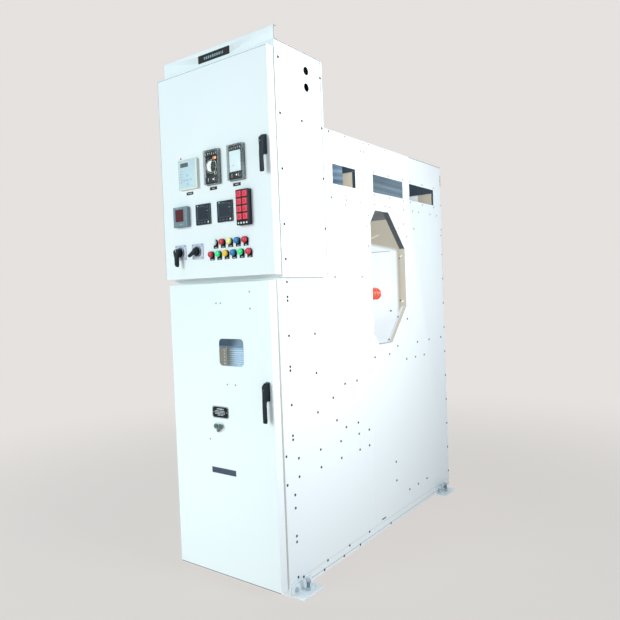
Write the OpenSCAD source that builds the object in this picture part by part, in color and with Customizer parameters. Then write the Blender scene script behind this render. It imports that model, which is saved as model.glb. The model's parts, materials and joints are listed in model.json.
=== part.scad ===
/* [Body] */
// Width of the body across its side sheets
body_w = 640; // [600:10:720]
// Depth of the body from the door frame to the rear covers
body_d = 1765; // [1740:5:1900]
// Height of the roof above the floor
body_h = 2150; // [2120:5:2300]
// Thickness of the sheet steel
sheet = 2; // [1.5:0.5:3]
// Depth of the door frame's posts, seen at the sides
frame_d = 40; // [30:5:60]
// Width of the face that each door closes on
face_w = 22; // [20:1:26]
// Where the front side sheets meet the rear ones, from the door frame
seam_y = 775; // [760:5:780]

/* [Base and feet] */
// Height of the base channel
base_h = 40; // [40:5:60]
// Thickness of the base channel's steel
base_t = 3; // [2:0.5:5]
// Width of the base channel's flanges
base_flange = 40; // [36:2:60]
// Distance between the front and the rear foot brackets
foot_dy = 1530; // [1400:10:1560]
// Door frame to the middle of the front foot brackets
foot_front = 82; // [80:1:120]
// Length of a foot bracket along the side
foot_len = 145; // [140:5:180]
// Width of a foot bracket out from the side
foot_out = 75; // [75:5:100]
// Thickness of a foot bracket
foot_t = 8; // [6:1:10]
// Radius of the anchor holes
anchor_r = 9; // [7:0.5:10]
// Bracket middle to its anchor hole, towards the middle of the cabinet
anchor_shift = 42; // [40:1:50]

/* [Low-voltage chamber] */
// How far the chamber stands out past each side of the body
lv_over = 30; // [20:5:40]
// Depth of the chamber
lv_d = 356; // [320:2:400]
// Height of the chamber's underside above the floor
lv_z = 1425; // [1420:5:1450]
// Height of the chamber
lv_h = 1022; // [1010:2:1060]
// Height of the upstand on the chamber's front
upstand_h = 59; // [40:1:80]
// Radius of the wireway holes in the chamber's sides
wire_hole_r = 19; // [12:1:24]

/* [Doors] */
// Depth of the low-voltage door's folded edge
lv_door_t = 42; // [36:1:50]
// Gap between the low-voltage door and the chamber
lv_gap = 8; // [7:0.5:10]
// Chamber underside to the low-voltage door's lower edge
lv_door_lift = 12; // [6:1:20]
// Low-voltage door's upper edge to the chamber's top
lv_door_drop = 37; // [20:1:45]
// Depth of the breaker door's folded edge
bk_door_t = 45; // [40:1:55]
// Gap between the breaker door and its frame
bk_gap = 12; // [10:0.5:14]
// Breaker door's upper edge to the chamber's underside
bk_door_drop = 14; // [10:1:20]
// Width of the door seals
seal_w = 10; // [8:0.5:11]
// Radius of the hinge barrels
barrel_r = 4.5; // [4:0.1:4.6]
// Radius of the hinge pins
pin_r = 2.5; // [2:0.1:3]
// Radial clearance of a pin or a shaft in its hole
run_fit = 0.08; // [0.05:0.01:0.1]

/* [Side openings] */
// Roof to the duct openings' upper edge
duct_drop = 163; // [150:1:180]
// Height of the duct openings
duct_h = 99; // [80:1:110]
// Busbar opening along the side
oct_w = 397; // [380:1:400]
// Height of the busbar opening
oct_h = 746; // [720:1:750]
// Depth of the collar round the busbar opening
collar_d = 33; // [28:1:80]

/* [Compartments] */
// Door frame to the partition that carries the spouts
spout_y = 790; // [785:1:796]
// Door frame to the busbar compartment's rear wall
busbar_y = 1238; // [1236:1:1250]
// Height of the busbar compartment's floor
busbar_z = 1010; // [1005:1:1014]
// Roof to the gas duct's floor
duct_floor_drop = 330; // [310:1:340]

/* [Breaker] */
// Distance between the phases
phase = 150; // [150:1:165]
// Height of the upper contacts
upper_z = 1100; // [1095:1:1105]
// Height of the lower contacts
lower_z = 790; // [785:1:795]
// Travel of the truck from service to test
rack_travel = 200; // [180:5:200]
// Radius of the truck's wheels
wheel_r = 32; // [30:1:34]
// Radius of a vacuum interrupter
vi_r = 44; // [36:1:46]
// Stroke of the moving contacts
stroke = 9; // [6:0.5:10]
// Outer radius of a spout
spout_r = 70; // [66:1:71]

/* [Front instruments] */
// Side of the square panel meters
meter = 96; // [90:1:100]
// Distance between the panel meters
meter_pitch = 140; // [120:1:141]
// Distance between the lamps
lamp_pitch = 46.4; // [40:0.2:47]
// Radius of a lamp's bezel
lamp_r = 14.5; // [12:0.5:16]
// Width of the flush relays' covers
relay_w = 92; // [80:1:96]
// Height of the flush relays' covers
relay_h = 158; // [140:1:164]
// How far the covers stand out from the door
relay_d = 20; // [16:1:40]
// Travel of the annunciator's buttons
key_travel = 1.5; // [1:0.1:2]

/* [Hidden] */

// Colours
white = [0.93, 0.97, 0.97];
galvanised = [0.62, 0.68, 0.72];
zinc = [0.72, 0.75, 0.78];
copper = [0.75, 0.45, 0.30];
epoxy = [0.80, 0.30, 0.18];
black = [0.13, 0.15, 0.18];
rubber = [0.10, 0.10, 0.10];
pale = [0.80, 0.83, 0.84];

// Planes of the body: half width, front and rear
hw = body_w / 2;
yf = -foot_dy / 2 - foot_front;
yr = yf + body_d;
inner_x = hw - sheet;
roof_z = body_h - sheet;
duct_z = body_h - duct_drop - duct_h;
duct_floor_z = body_h - duct_floor_drop;
cut = 1;
seam = 0.5;

// Planes of the low-voltage chamber and the two doors
lv_hw = hw + lv_over;
lv_top = lv_z + lv_h;
lv_back = yf + lv_d;
lv_rear = yf - lv_gap;
lv_face = lv_rear - lv_door_t;
lv_door_z0 = lv_z + lv_door_lift;
lv_door_z1 = lv_top - lv_door_drop;
bk_rear = yf - bk_gap;
bk_face = bk_rear - bk_door_t;
bk_door_z0 = base_h - sheet;
bk_door_z1 = lv_z - bk_door_drop;
seal_inset = face_w - seal_w;
seal_slack = 0.4;

// Hinge axes, from the door edge and the door's rear face
hinge_in = 5;
hinge_back = 2;
lv_hinge = [-lv_hw + hinge_in, lv_rear - hinge_back];
bk_hinge = [-hw + hinge_in, bk_rear - hinge_back];
barrel_l = 40;
lug_l = 8;
lug_gap = 0.5;
lv_hinge_zs = [for (k = [0.08, 0.5, 0.92]) lv_door_z0 + k * (lv_door_z1 - lv_door_z0)];
bk_hinge_zs = [for (k = [0.08, 0.5, 0.92]) bk_door_z0 + k * (bk_door_z1 - bk_door_z0)];

// Rows of things along the side: start, end
duct_cuts = [[yf + 464, yf + 681], [yf + 863, yf + 1216], [yf + 1303, yf + 1649]];
oct_y = yf + 820;
oct_z = 1044;
vents = [[yf + 430, yf + 700], [yf + 840, yf + 1180], [yf + 1330, yf + 1690]];
vent_x = 200;
phases = [-phase, 0, phase];

// The instruments' centres on the low-voltage door, as x and z
relay_num = [-150, 1930];
relay_disc = [9, 1941];
relay_plate = [157, 1941];
meter_z = 1734;
meter_x0 = -207;
annun = [195, 1738];
annun_w = 74;
annun_h = 156;
switch_1 = [-233, 1566];
switch_2 = [-116, 1564];
switch_side = 74;
lamps_top = [4, 1597];
lamps_low = [-22, 1544];
lv_handle_at = [322, 2000];
bk_handle_at = [290, 936];
lock_at = [-15, 740];
window_at = [78, 1092];
window_size = [153, 125];
slot_at = [0, 534];
slot_size = [155, 28];

// Breaker stations, from the door frame
truck_y0 = yf + rack_travel + 25;
pole_y = yf + 500;
pole_r = 60;
tulip_y0 = yf + 690;
spout_mouth = yf + 612;
spout_end = yf + 830;
floor_top = base_h + sheet;
mech_w = 230;
mech_z0 = 430;
mech_z1 = 1080;
mech_y1 = yf + 420;

module box(x, y, z) {
    translate([x[0], y[0], z[0]]) cube([x[1] - x[0], y[1] - y[0], z[1] - z[0]]);
}

module both_sides() {
    children();
    mirror([1, 0, 0]) children();
}

module rounded(w, h, r) {
    square([w - 2 * r, h], center = true);
    square([w, h - 2 * r], center = true);
    for (x = [-1, 1], y = [-1, 1]) translate([x * (w / 2 - r), y * (h / 2 - r)]) circle(r, $fn = 32);
}

// A shape drawn in x and z, standing at y and thick towards +Y
module plate_y(at, y, t) {
    translate([at[0], y + t, at[1]]) rotate([90, 0, 0]) linear_extrude(t) children();
}

// A shape drawn in y and z, standing at x and thick towards +X
module plate_x(x, t) {
    translate([x, 0, 0]) rotate([90, 0, 90]) linear_extrude(t) children();
}

// A round bar along Y
module rod_y(at, y0, y1, r) {
    translate([at[0], y0, at[1]]) rotate([-90, 0, 0]) cylinder(y1 - y0, r, r, $fn = 48);
}

module rod_x(x0, x1, y, z, r) {
    translate([x0, y, z]) rotate([0, 90, 0]) cylinder(x1 - x0, r, r, $fn = 40);
}

// A hexagon head or nut along +Z
module hex_head(af, h) {
    cylinder(h, af / sqrt(3), af / sqrt(3), $fn = 6);
}

// Corner factor that keeps a chamfer parallel when the outline grows by g
function keep(a, b, g) = 1 + g * ((a + b) / norm([a, b]) - 1) / (a * b / norm([a, b]));

// Outline of the busbar opening, grown by g, in y and z
function oct_points(g) = let (
        y0 = oct_y - g,
        y1 = oct_y + oct_w + g,
        z0 = oct_z - g,
        z1 = oct_z + oct_h + g,
        f = keep(56, 68, g),
        r = keep(190, 200, g))
    [[y0, z0 + 68 * f], [y0 + 56 * f, z0], [y1 - 190 * r, z0], [y1, z0 + 200 * r],
     [y1, z1 - 200 * r], [y1 - 190 * r, z1], [y0 + 56 * f, z1], [y0, z1 - 68 * f]];

// A door's folded pan with a lip round its rear
module door_pan(w, face, rear, z0, z1) {
    difference() {
        box([-w, w], [face, rear], [z0, z1]);
        box([-w + sheet, w - sheet], [face + sheet, rear - sheet], [z0 + sheet, z1 - sheet]);
        box([-w + face_w, w - face_w], [rear - sheet - cut, rear + cut], [z0 + face_w, z1 - face_w]);
    }
}

module hinge_notches(at, zs) {
    reach = barrel_l / 2 + lug_gap + lug_l / 2;
    for (z = zs, s = [-1, 1]) translate([at[0] - 9, at[1] - 13, z + s * reach - lug_l / 2 - lug_gap])
        cube([17, 20, lug_l + 2 * lug_gap]);
}

module hinge_barrels(at, zs) {
    for (z = zs) translate([at[0], at[1], z - barrel_l / 2]) cylinder(barrel_l, barrel_r, barrel_r, $fn = 40);
}

module hinge_bores(at, zs) {
    for (z = zs) translate([at[0], at[1], z - barrel_l / 2 - cut])
        cylinder(barrel_l + 2 * cut, pin_r + run_fit, pin_r + run_fit, $fn = 40);
}

module hinge_pins(at, zs) {
    reach = barrel_l / 2 + lug_gap;
    for (z = zs) {
        translate([at[0], at[1], z - reach - lug_l])
            cylinder(2 * (reach + lug_l), pin_r, pin_r, $fn = 40);
        for (lug_z = [z - reach - lug_l, z + reach])
            translate([at[0] - barrel_r, at[1] - barrel_r, lug_z])
                cube([2 * barrel_r, yf - at[1] + barrel_r + sheet / 2, lug_l]);
    }
}

module door_seal(w, rear, z0, z1) {
    i = seal_inset;
    difference() {
        box([-w + i, w - i], [rear, yf - seal_slack], [z0 + i, z1 - i]);
        box([-w + i + seal_w, w - i - seal_w], [rear - cut, yf], [z0 + i + seal_w, z1 - i - seal_w]);
    }
}

// Base and feet

module feet() {
    for (s = [-1, 1]) translate([hw, s * foot_dy / 2, 0]) scale([1, -s, 1]) children();
}

module base_frame() {
    color(white) difference() {
        box([-hw, hw], [yf, yr], [0, base_h]);
        box([-hw + base_flange, hw - base_flange], [yf + base_flange, yr - base_flange],
            [-cut, base_h + cut]);
        box([-hw + base_t, hw - base_t], [yf + base_t, yr - base_t], [base_t, base_h - base_t]);
        both_sides() for (y = [-foot_dy / 2, foot_dy / 2], s = [-1, 1])
            rod_x(hw - base_t - cut, hw + cut, y + s * foot_len * 0.31, base_h * 0.55, 6.5);
    }
}

module foot_bracket() {
    difference() {
        translate([0, foot_len / 2, 0]) rotate([90, 0, 0]) linear_extrude(foot_len)
            polygon([[0, 0], [foot_out, 0], [foot_out, foot_t], [foot_t * 1.2, foot_t],
                [foot_t, foot_t * 1.2], [foot_t, base_h], [0, base_h]]);
        for (s = [-1, 1]) rod_x(-cut, foot_t + cut, s * foot_len * 0.31, base_h * 0.55, 6.5);
        translate([foot_out * 0.56, 0, -cut]) cylinder(foot_t + 2 * cut, 8.5, 8.5, $fn = 40);
        translate([foot_out * 0.6, -anchor_shift, -cut])
            cylinder(foot_t + 2 * cut, anchor_r, anchor_r, $fn = 48);
    }
}

module foot_brackets() {
    color(white) both_sides() for (s = [-1, 1])
        translate([hw, s * foot_dy / 2, 0]) mirror([0, s > 0 ? 0 : 1, 0]) foot_bracket();
}

module side_bolt() {
    rotate([0, 90, 0]) {
        cylinder(2.5, 12, 12, $fn = 32);
        translate([0, 0, 2.5]) hex_head(18, 8);
        translate([0, 0, -26 - foot_t]) cylinder(27 + foot_t, 6, 6, $fn = 32);
        translate([0, 0, -base_t - foot_t - 10]) hex_head(18, 10);
    }
}

module levelling_bolt() {
    translate([0, 0, 0.2]) cylinder(60, 8, 8, $fn = 32);
    translate([0, 0, foot_t]) cylinder(3, 15, 15, $fn = 32);
    translate([0, 0, foot_t + 3]) hex_head(24, 13);
    translate([0, 0, 52]) hex_head(24, 10);
}

module foot_bolts() {
    color(zinc) both_sides() for (y = [-foot_dy / 2, foot_dy / 2]) {
        for (s = [-1, 1]) translate([hw + foot_t, y + s * foot_len * 0.31, base_h * 0.55]) side_bolt();
        translate([hw + foot_out * 0.56, y, 0]) levelling_bolt();
    }
}

// Sheets of the body

module door_frame() {
    color(white) {
        difference() {
            box([-hw, hw], [yf, yf + frame_d], [base_h, lv_z]);
            box([-hw + face_w, hw - face_w], [yf - cut, yf + frame_d + cut],
                [base_h + face_w, lv_z - face_w]);
            difference() {
                box([-hw + sheet, hw - sheet], [yf + sheet, yf + frame_d + cut],
                    [base_h + sheet, lv_z - sheet]);
                box([-hw + face_w - sheet, hw - face_w + sheet], [yf, yf + frame_d + 2 * cut],
                    [base_h + face_w - sheet, lv_z - face_w + sheet]);
            }
        }
        hinge_pins(bk_hinge, bk_hinge_zs);
    }
}

module side_sheets_front() {
    color(white) both_sides() difference() {
        plate_x(inner_x, sheet) polygon([[yf + frame_d, base_h], [yf + seam_y, base_h],
            [yf + seam_y, roof_z], [lv_back, roof_z], [lv_back, lv_z], [yf + frame_d, lv_z]]);
        box([inner_x - cut, hw + cut], duct_cuts[0], [duct_z, duct_z + duct_h]);
    }
}

module side_sheets_rear() {
    color(white) both_sides() {
        difference() {
            box([inner_x, hw], [yf + seam_y, yr - sheet], [base_h, roof_z]);
            for (k = [1, 2]) box([inner_x - cut, hw + cut], duct_cuts[k], [duct_z, duct_z + duct_h]);
            plate_x(inner_x - cut, sheet + 2 * cut) polygon(oct_points(0));
        }
        box([inner_x - 28, inner_x + sheet / 2], [yr - 2 * sheet, yr - sheet], [base_h, roof_z]);
    }
}

module busbar_opening_collars() {
    color(pale) both_sides() difference() {
        union() {
            plate_x(inner_x - collar_d, collar_d) polygon(oct_points(sheet));
            plate_x(inner_x - sheet, sheet) polygon(oct_points(20));
        }
        plate_x(inner_x - collar_d - cut, collar_d + 2 * cut) polygon(oct_points(0));
    }
}

flap_lap = 20;
flap_z = body_h + 0.3;
flap_pin_z = body_h + barrel_r + 0.5;
lug_r = 3.6;
flap_barrels = [-vent_x / 2, vent_x / 2];
function flap_axis(v) = v[1] + flap_lap + 6;

module roof_sheet() {
    color(white) {
        difference() {
            box([-hw, hw], [lv_back, yr], [roof_z, body_h]);
            for (v = vents) box([-vent_x, vent_x], v, [roof_z - cut, body_h + cut]);
        }
        for (v = vents, x = flap_barrels) {
            rod_x(x - 32, x + 32, flap_axis(v), flap_pin_z, pin_r);
            for (s = [-1, 1]) translate([x + s * 28 - 4, flap_axis(v) - lug_r, body_h - sheet / 2])
                cube([8, 2 * lug_r, flap_pin_z - body_h + lug_r + sheet / 2]);
        }
    }
}

module relief_flap(v) {
    color(white) difference() {
        union() {
            box([-vent_x - flap_lap, vent_x + flap_lap], [v[0] - flap_lap, v[1] + flap_lap],
                [flap_z, flap_z + sheet]);
            for (x = flap_barrels) {
                box([x - 20, x + 20], [v[1] + flap_lap - cut, flap_axis(v)], [flap_z, flap_z + sheet]);
                rod_x(x - 20, x + 20, flap_axis(v), flap_pin_z, barrel_r);
            }
            for (x = [-0.6, 0, 0.6]) box([x * vent_x - 2, x * vent_x + 2], [v[0], v[1]],
                [flap_z + sheet - 0.5, flap_z + sheet + 8]);
        }
        for (x = flap_barrels) rod_x(x - 21, x + 21, flap_axis(v), flap_pin_z, pin_r + run_fit);
    }
}

module relief_flap_front() {
    relief_flap(vents[0]);
}

module relief_flap_middle() {
    relief_flap(vents[1]);
}

module relief_flap_rear() {
    relief_flap(vents[2]);
}

module rear_cover(z0, z1) {
    box([-hw, hw], [yr - sheet, yr], [z0, z1]);
    for (k = [0.25, 0.5, 0.75]) box([-hw * 0.8, hw * 0.8], [yr - sheet - 14, yr - sheet + 0.5],
        [z0 + k * (z1 - z0) - sheet / 2, z0 + k * (z1 - z0) + sheet / 2]);
}

module rear_covers() {
    color(white) {
        rear_cover(base_h, busbar_z - 1);
        rear_cover(busbar_z + 1, roof_z);
    }
}

// Partitions, each a sheet of its own with a seam to its neighbours
module compartment_sheets() {
    beam_z = lower_z + 5 + 130;
    color(galvanised) {
        difference() {
            box([-inner_x, inner_x], [yf + spout_y, yf + spout_y + sheet], [floor_top, duct_floor_z - seam]);
            for (x = phases, z = [lower_z, upper_z])
                rod_y([x, z], yf + spout_y - cut, yf + spout_y + sheet + cut, spout_r + 0.3);
        }
        box([-inner_x, inner_x], [yf + busbar_y, yf + busbar_y + sheet],
            [busbar_z + sheet + seam, duct_floor_z - seam]);
        box([-inner_x, inner_x], [yf + spout_y + sheet + seam, yf + busbar_y + sheet],
            [busbar_z, busbar_z + sheet]);
        difference() {
            box([-inner_x, inner_x], [yf + 1150, yf + 1210], [beam_z, busbar_z - seam]);
            box([-hw, hw], [yf + 1150 + sheet, yf + 1210 - sheet], [beam_z + sheet, busbar_z + cut]);
        }
        difference() {
            box([-inner_x, inner_x], [yf + spout_y + sheet + seam, yf + 990], [lower_z - 87, lower_z - 85]);
            for (x = phases) box([x - 72, x + 72], [yf + spout_y, yf + spout_y + 60],
                [lower_z - 90, lower_z - 80]);
        }
        difference() {
            box([-inner_x, inner_x], [lv_back + sheet + seam, yr - 3 * sheet],
                [duct_floor_z, duct_floor_z + sheet]);
            for (v = vents) box([-vent_x, vent_x], v, [duct_floor_z - cut, duct_floor_z + sheet + cut]);
        }
        for (y = [spout_y, busbar_y + 24]) box([-inner_x, inner_x], [yf + y, yf + y + sheet],
            [duct_floor_z + sheet + seam, roof_z]);
        box([-inner_x, inner_x], [lv_back, lv_back + sheet], [lv_z, roof_z]);
        for (x = phases) rod_y([x, upper_z + 225], yf + busbar_y - spacer_l, yf + busbar_y - seam, 18);
    }
}

// A thread-forming screw's flanged head, along +Z
module screw_head() {
    hull() {
        cylinder(0.8, 6.5, 6.5, $fn = 8);
        cylinder(3.4, 3.8, 3.8, $fn = 8);
    }
}

// Places of screws along y and z, with y from the door frame
function along_y(z, ys) = [for (y = ys) [yf + y, z]];
function along_z(y, zs) = [for (z = zs) [yf + y, z]];
side_screws = concat(along_y(roof_z - 7, [442, 588, 737, 776, 830, 1010]),
    along_y(roof_z - 55, [743, 773]), along_y(duct_z - 71, [445, 584, 716]),
    along_y(duct_z - 67, [871, 990, 1037, 1218]), along_y(duct_z - 64, [1337, 1421, 1587, 1691]),
    [for (z = [duct_z - 13, duct_z + duct_h + 13], y = [872, 1046, 1219, 1310, 1480, 1650]) [yf + y, z]],
    along_z(804, [1756]), along_z(790, [1698, 1590]), along_z(1209, [1736]), along_z(1139, [1706]),
    along_z(1246, [1663]), along_z(571, [1837, 1791]), along_y(1423, [453, 712]),
    along_z(1345, [1716]), along_z(1747, [1695]),
    along_z(65, [1403, 1336, 1319, 1162, 1023, 1005, 850, 711, 693, 442, 382, 254, 227, 65]),
    along_z(102, [600, 515]), along_z(13, [629, 500]), along_z(264, [1155, 968, 780]),
    along_y(880, [509, 624]), along_y(827, [398]), along_y(710, [424]), along_y(658, [507, 624]),
    along_y(598, [276, 453, 627, 732]), along_y(513, [276, 454, 631, 730]),
    along_y(980, [820, 988]), along_y(1017, [1089, 1348, 1517, 1698]), along_y(928, [1197, 1314, 1438]),
    along_z(1222, [1168]), along_z(1023, [348, 239]), along_y(140, [1182, 1299, 1423]),
    along_y(base_h + 10, [105, 301, 499, 699]), along_y(base_h * 0.4, [270, 444, 601, 937]),
    [for (k = [0 : 12]) [yf + 1757, 100 + k * 163.3]]);
chamber_screws = concat(along_z(25, [lv_top - 72, lv_top - 312, lv_top - 552, lv_z + 230, lv_z + 77]),
    along_z(340, [lv_top - 81, lv_top - 318, lv_top - 556, lv_z + 228]), along_z(182, [lv_top - 315]));

module body_screws() {
    color(zinc) {
        both_sides() {
            for (p = side_screws) translate([hw, p[0], p[1]]) rotate([0, 90, 0]) screw_head();
            for (p = chamber_screws) translate([lv_hw, p[0], p[1]]) rotate([0, 90, 0]) screw_head();
        }
        for (x = [-300 : 200 : 300], z = [62, busbar_z - 18, busbar_z + 20, body_h - 18])
            translate([x, yr, z]) rotate([-90, 0, 0]) screw_head();
        for (x = [-300, 300], z = [for (k = [0 : 8]) k < 4 ? 260 + 180 * k : 490 + 180 * k])
            translate([x, yr, z]) rotate([-90, 0, 0]) screw_head();
    }
}

// Low-voltage chamber

// Sheets that meet at seams: the two sides with the front posts, top, floor, rear and two front rails
module lv_chamber() {
    in = lv_hw - sheet - seam;
    post = lv_hw - face_w;
    color(white) {
        both_sides() {
            difference() {
                box([lv_hw - sheet, lv_hw], [yf, lv_back], [lv_z, lv_top]);
                for (z = [lv_top - 78, lv_top - 153])
                    rod_x(lv_hw - sheet - cut, lv_hw + cut, yf + 228, z, wire_hole_r);
            }
            box([post, in], [yf, yf + sheet], [lv_z, lv_top]);
        }
        box([-post + seam, post - seam], [yf, yf + sheet], [lv_z, lv_door_z0 + face_w]);
        box([-post + seam, post - seam], [yf, yf + sheet], [lv_door_z1 - face_w, lv_top]);
        box([-in, in], [yf + sheet + seam, lv_back], [lv_z, lv_z + sheet]);
        box([-in, in], [yf + sheet + seam, lv_back], [lv_top - sheet, lv_top]);
        box([-in, in], [lv_back - sheet, lv_back], [lv_z + sheet + seam, lv_top - sheet - seam]);
        hinge_pins(lv_hinge, lv_hinge_zs);
    }
}

module lv_upstand() {
    color(white) {
        box([-lv_hw, lv_hw], [yf, yf + sheet], [lv_top, lv_top + upstand_h]);
        box([-lv_hw, lv_hw], [yf + sheet / 2, yf + 18], [lv_top + upstand_h - sheet, lv_top + upstand_h]);
        box([-lv_hw, lv_hw], [yf + sheet / 2, yf + 25], [lv_top, lv_top + sheet]);
    }
    color(black) plate_y([-9, lv_top + 21], yf - 1.5, 1.5) rounded(202, 36, 2);
}

plate_back = lv_back - sheet - 22;
rail_zs = [lv_z + 180, lv_z + 430, lv_z + 680];

module lv_mounting_plate() {
    z0 = lv_z + 60;
    z1 = lv_top - 60;
    color(galvanised) {
        box([-lv_hw + 50, lv_hw - 50], [plate_back - sheet, plate_back], [z0, z1]);
        for (x = [-1, 1], z = [z0 + 30, z1 - 30])
            rod_y([x * (lv_hw - 75), z], plate_back - sheet / 2, lv_back - sheet, 8);
        for (z = rail_zs) box([-lv_hw + 105, lv_hw - 105], [plate_back - sheet - 7, plate_back - sheet / 2],
            [z - 17, z + 17]);
    }
    color(pale) for (z = [z0 + 20, rail_zs[0] + 105, rail_zs[1] + 105, z1 - 70])
        difference() {
            box([-lv_hw + 105, lv_hw - 105], [plate_back - sheet - 60, plate_back - sheet / 2], [z, z + 50]);
            box([-lv_hw + 100, lv_hw - 100], [plate_back - sheet - 58, plate_back - sheet - 2],
                [z + 2, z + 48]);
        }
}

module din_rail_devices() {
    y1 = plate_back - sheet - 7;
    color(pale) for (k = [0 : 29]) box([-190 + k * 13, -178.5 + k * 13], [y1 - 42, y1],
        [rail_zs[0] - 26, rail_zs[0] + 26]);
    color([0.9, 0.9, 0.88]) for (k = [0 : 9]) difference() {
        box([-190 + k * 18, -172.4 + k * 18], [y1 - 66, y1], [rail_zs[1] - 40, rail_zs[1] + 40]);
        box([-191 + k * 18, -171 + k * 18], [y1 - 67, y1 - 46], [rail_zs[1] + 22, rail_zs[1] + 41]);
        box([-191 + k * 18, -171 + k * 18], [y1 - 67, y1 - 46], [rail_zs[1] - 41, rail_zs[1] - 22]);
    }
    color(black) for (k = [0 : 4]) box([20 + k * 34, 50 + k * 34], [y1 - 74, y1],
        [rail_zs[2] - 36, rail_zs[2] + 36]);
}

// High-voltage compartments

module spout(at) {
    translate([at[0], 0, at[1]]) rotate([-90, 0, 0]) rotate_extrude($fn = 64)
        polygon([[spout_r - 14, spout_mouth], [spout_r - 4, spout_mouth], [spout_r, spout_mouth + 8],
            [spout_r, yf + spout_y - 10], [spout_r + 3.5, yf + spout_y - 10], [spout_r + 3.5, yf + spout_y],
            [spout_r, yf + spout_y], [spout_r - 6, spout_end], [17.6, spout_end],
            [17.6, spout_end - 14], [spout_r - 16, spout_end - 26]]);
}

module spouts() {
    color(epoxy) for (x = phases, z = [lower_z, upper_z]) spout([x, z]);
}

module fixed_contacts() {
    color(copper) for (x = phases, z = [lower_z, upper_z])
        translate([x, 0, z]) rotate([-90, 0, 0]) rotate_extrude($fn = 48)
            polygon([[0, tulip_y0 + 12], [14, tulip_y0 + 12], [17.5, tulip_y0 + 16],
                [17.5, spout_end], [28, spout_end], [28, spout_end + 15], [0, spout_end + 15]]);
}

bar_t = 10;
spacer_l = 68;
branch_y = yf + busbar_y - spacer_l - 128;

module branch_bars() {
    y0 = spout_end + 15;
    z0 = upper_z + 50;
    color(copper) for (x = phases) difference() {
        plate_x(x - 30, 60) polygon([[y0, upper_z - 28], [y0 + bar_t, upper_z - 28], [y0 + bar_t, z0],
            [branch_y, z0], [branch_y, z0 + 270], [branch_y - bar_t, z0 + 270],
            [branch_y - bar_t, z0 + bar_t], [y0, z0 + bar_t]]);
        for (s = [-1, 1]) rod_y([x + s * 14, z0 + 250], branch_y - bar_t - cut, branch_y + cut, 6.5);
    }
}

// A ribbed post insulator along +Z
module post_insulator(l) {
    rotate_extrude($fn = 48) polygon([[0, 0], [35, 0], [35, 12], [27, 18], [27, l * 0.3],
        [34, l * 0.34], [27, l * 0.4], [27, l * 0.5], [34, l * 0.54], [27, l * 0.6],
        [27, l * 0.7], [34, l * 0.74], [27, l * 0.8], [24, l], [0, l]]);
}

module post_insulators() {
    color(epoxy) for (x = phases) {
        translate([x, yf + busbar_y - spacer_l, upper_z + 225]) rotate([90, 0, 0]) post_insulator(128);
        translate([x, yf + 1180, lower_z + 135]) rotate([180, 0, 0]) post_insulator(130);
    }
}

module current_transformers() {
    color([0.45, 0.20, 0.16]) for (x = phases) difference() {
        union() {
            rod_y([x, lower_z], yf + 882, yf + 978, 72);
            box([x - 70, x + 70], [yf + 882, yf + 978], [lower_z - 85, lower_z - 30]);
            box([x - 25, x + 25], [yf + 900, yf + 960], [lower_z + 60, lower_z + 92]);
        }
        rod_y([x, lower_z], yf + 880, yf + 980, 32);
    }
}

module cable_bars() {
    y0 = spout_end + 15;
    color(copper) for (x = phases) difference() {
        plate_x(x - 25, 50) polygon([[y0, lower_z - 28], [y0 + bar_t, lower_z - 28],
            [y0 + bar_t, lower_z - 5], [yf + 1215, lower_z - 5], [yf + 1215, lower_z - 230],
            [yf + 1225, lower_z - 230], [yf + 1225, lower_z + 5], [y0, lower_z + 5]]);
        for (s = [-1, 1]) rod_y([x + s * 14, lower_z - 205], yf + 1210, yf + 1230, 5.5);
    }
}

gland_y = yf + 1400;

module gland_plate() {
    color(galvanised) difference() {
        box([-inner_x, inner_x], [yf + spout_y + sheet + seam, yr - 2 * sheet], [base_h, base_h + 3]);
        for (x = phases) translate([x, gland_y, base_h - cut]) cylinder(5, 50, 50, $fn = 64);
    }
}

module earth_bar() {
    y1 = yr - 60;
    color(copper) difference() {
        union() {
            box([-hw + 40, hw - 40], [y1 - 6, y1], [base_h + 80, base_h + 120]);
            both_sides() {
                box([hw - 80, hw - 50], [y1, y1 + 5], [base_h + 3, base_h + 120]);
                box([hw - 80, hw - 50], [y1, y1 + 35], [base_h + 3, base_h + 8]);
            }
        }
        for (x = [-180 : 60 : 180]) rod_y([x, base_h + 100], y1 - 8, y1 + 2, 5.5);
    }
}

module breaker_rails() {
    color(galvanised) {
        box([-inner_x, inner_x], [yf + frame_d, yf + spout_y], [base_h, floor_top]);
        both_sides() box([mech_w + 10, mech_w + 14], [yf + frame_d, yf + spout_y - 20],
            [floor_top + seam, floor_top + 14]);
    }
}

module shutter_rod(past, grow) {
    translate([277, spout_mouth - 4, floor_top - past])
        cylinder(duct_floor_z - floor_top + 2 * past, 6 + grow, 6 + grow, $fn = 32);
}

module shutters() {
    y0 = spout_mouth - 14;
    color(galvanised) {
        box([-268, 268], [y0, y0 + 2], [upper_z + 90, upper_z + 290]);
        box([-268, 268], [y0, y0 + 2], [lower_z - 290, lower_z - 90]);
        both_sides() {
            difference() {
                for (z = [upper_z + 110, upper_z + 260, lower_z - 270, lower_z - 120])
                    box([262, 288], [y0, y0 + 18], [z, z + 12]);
                shutter_rod(cut, run_fit);
            }
            shutter_rod(0, 0);
        }
    }
}

// Low-voltage door and what it carries

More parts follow.
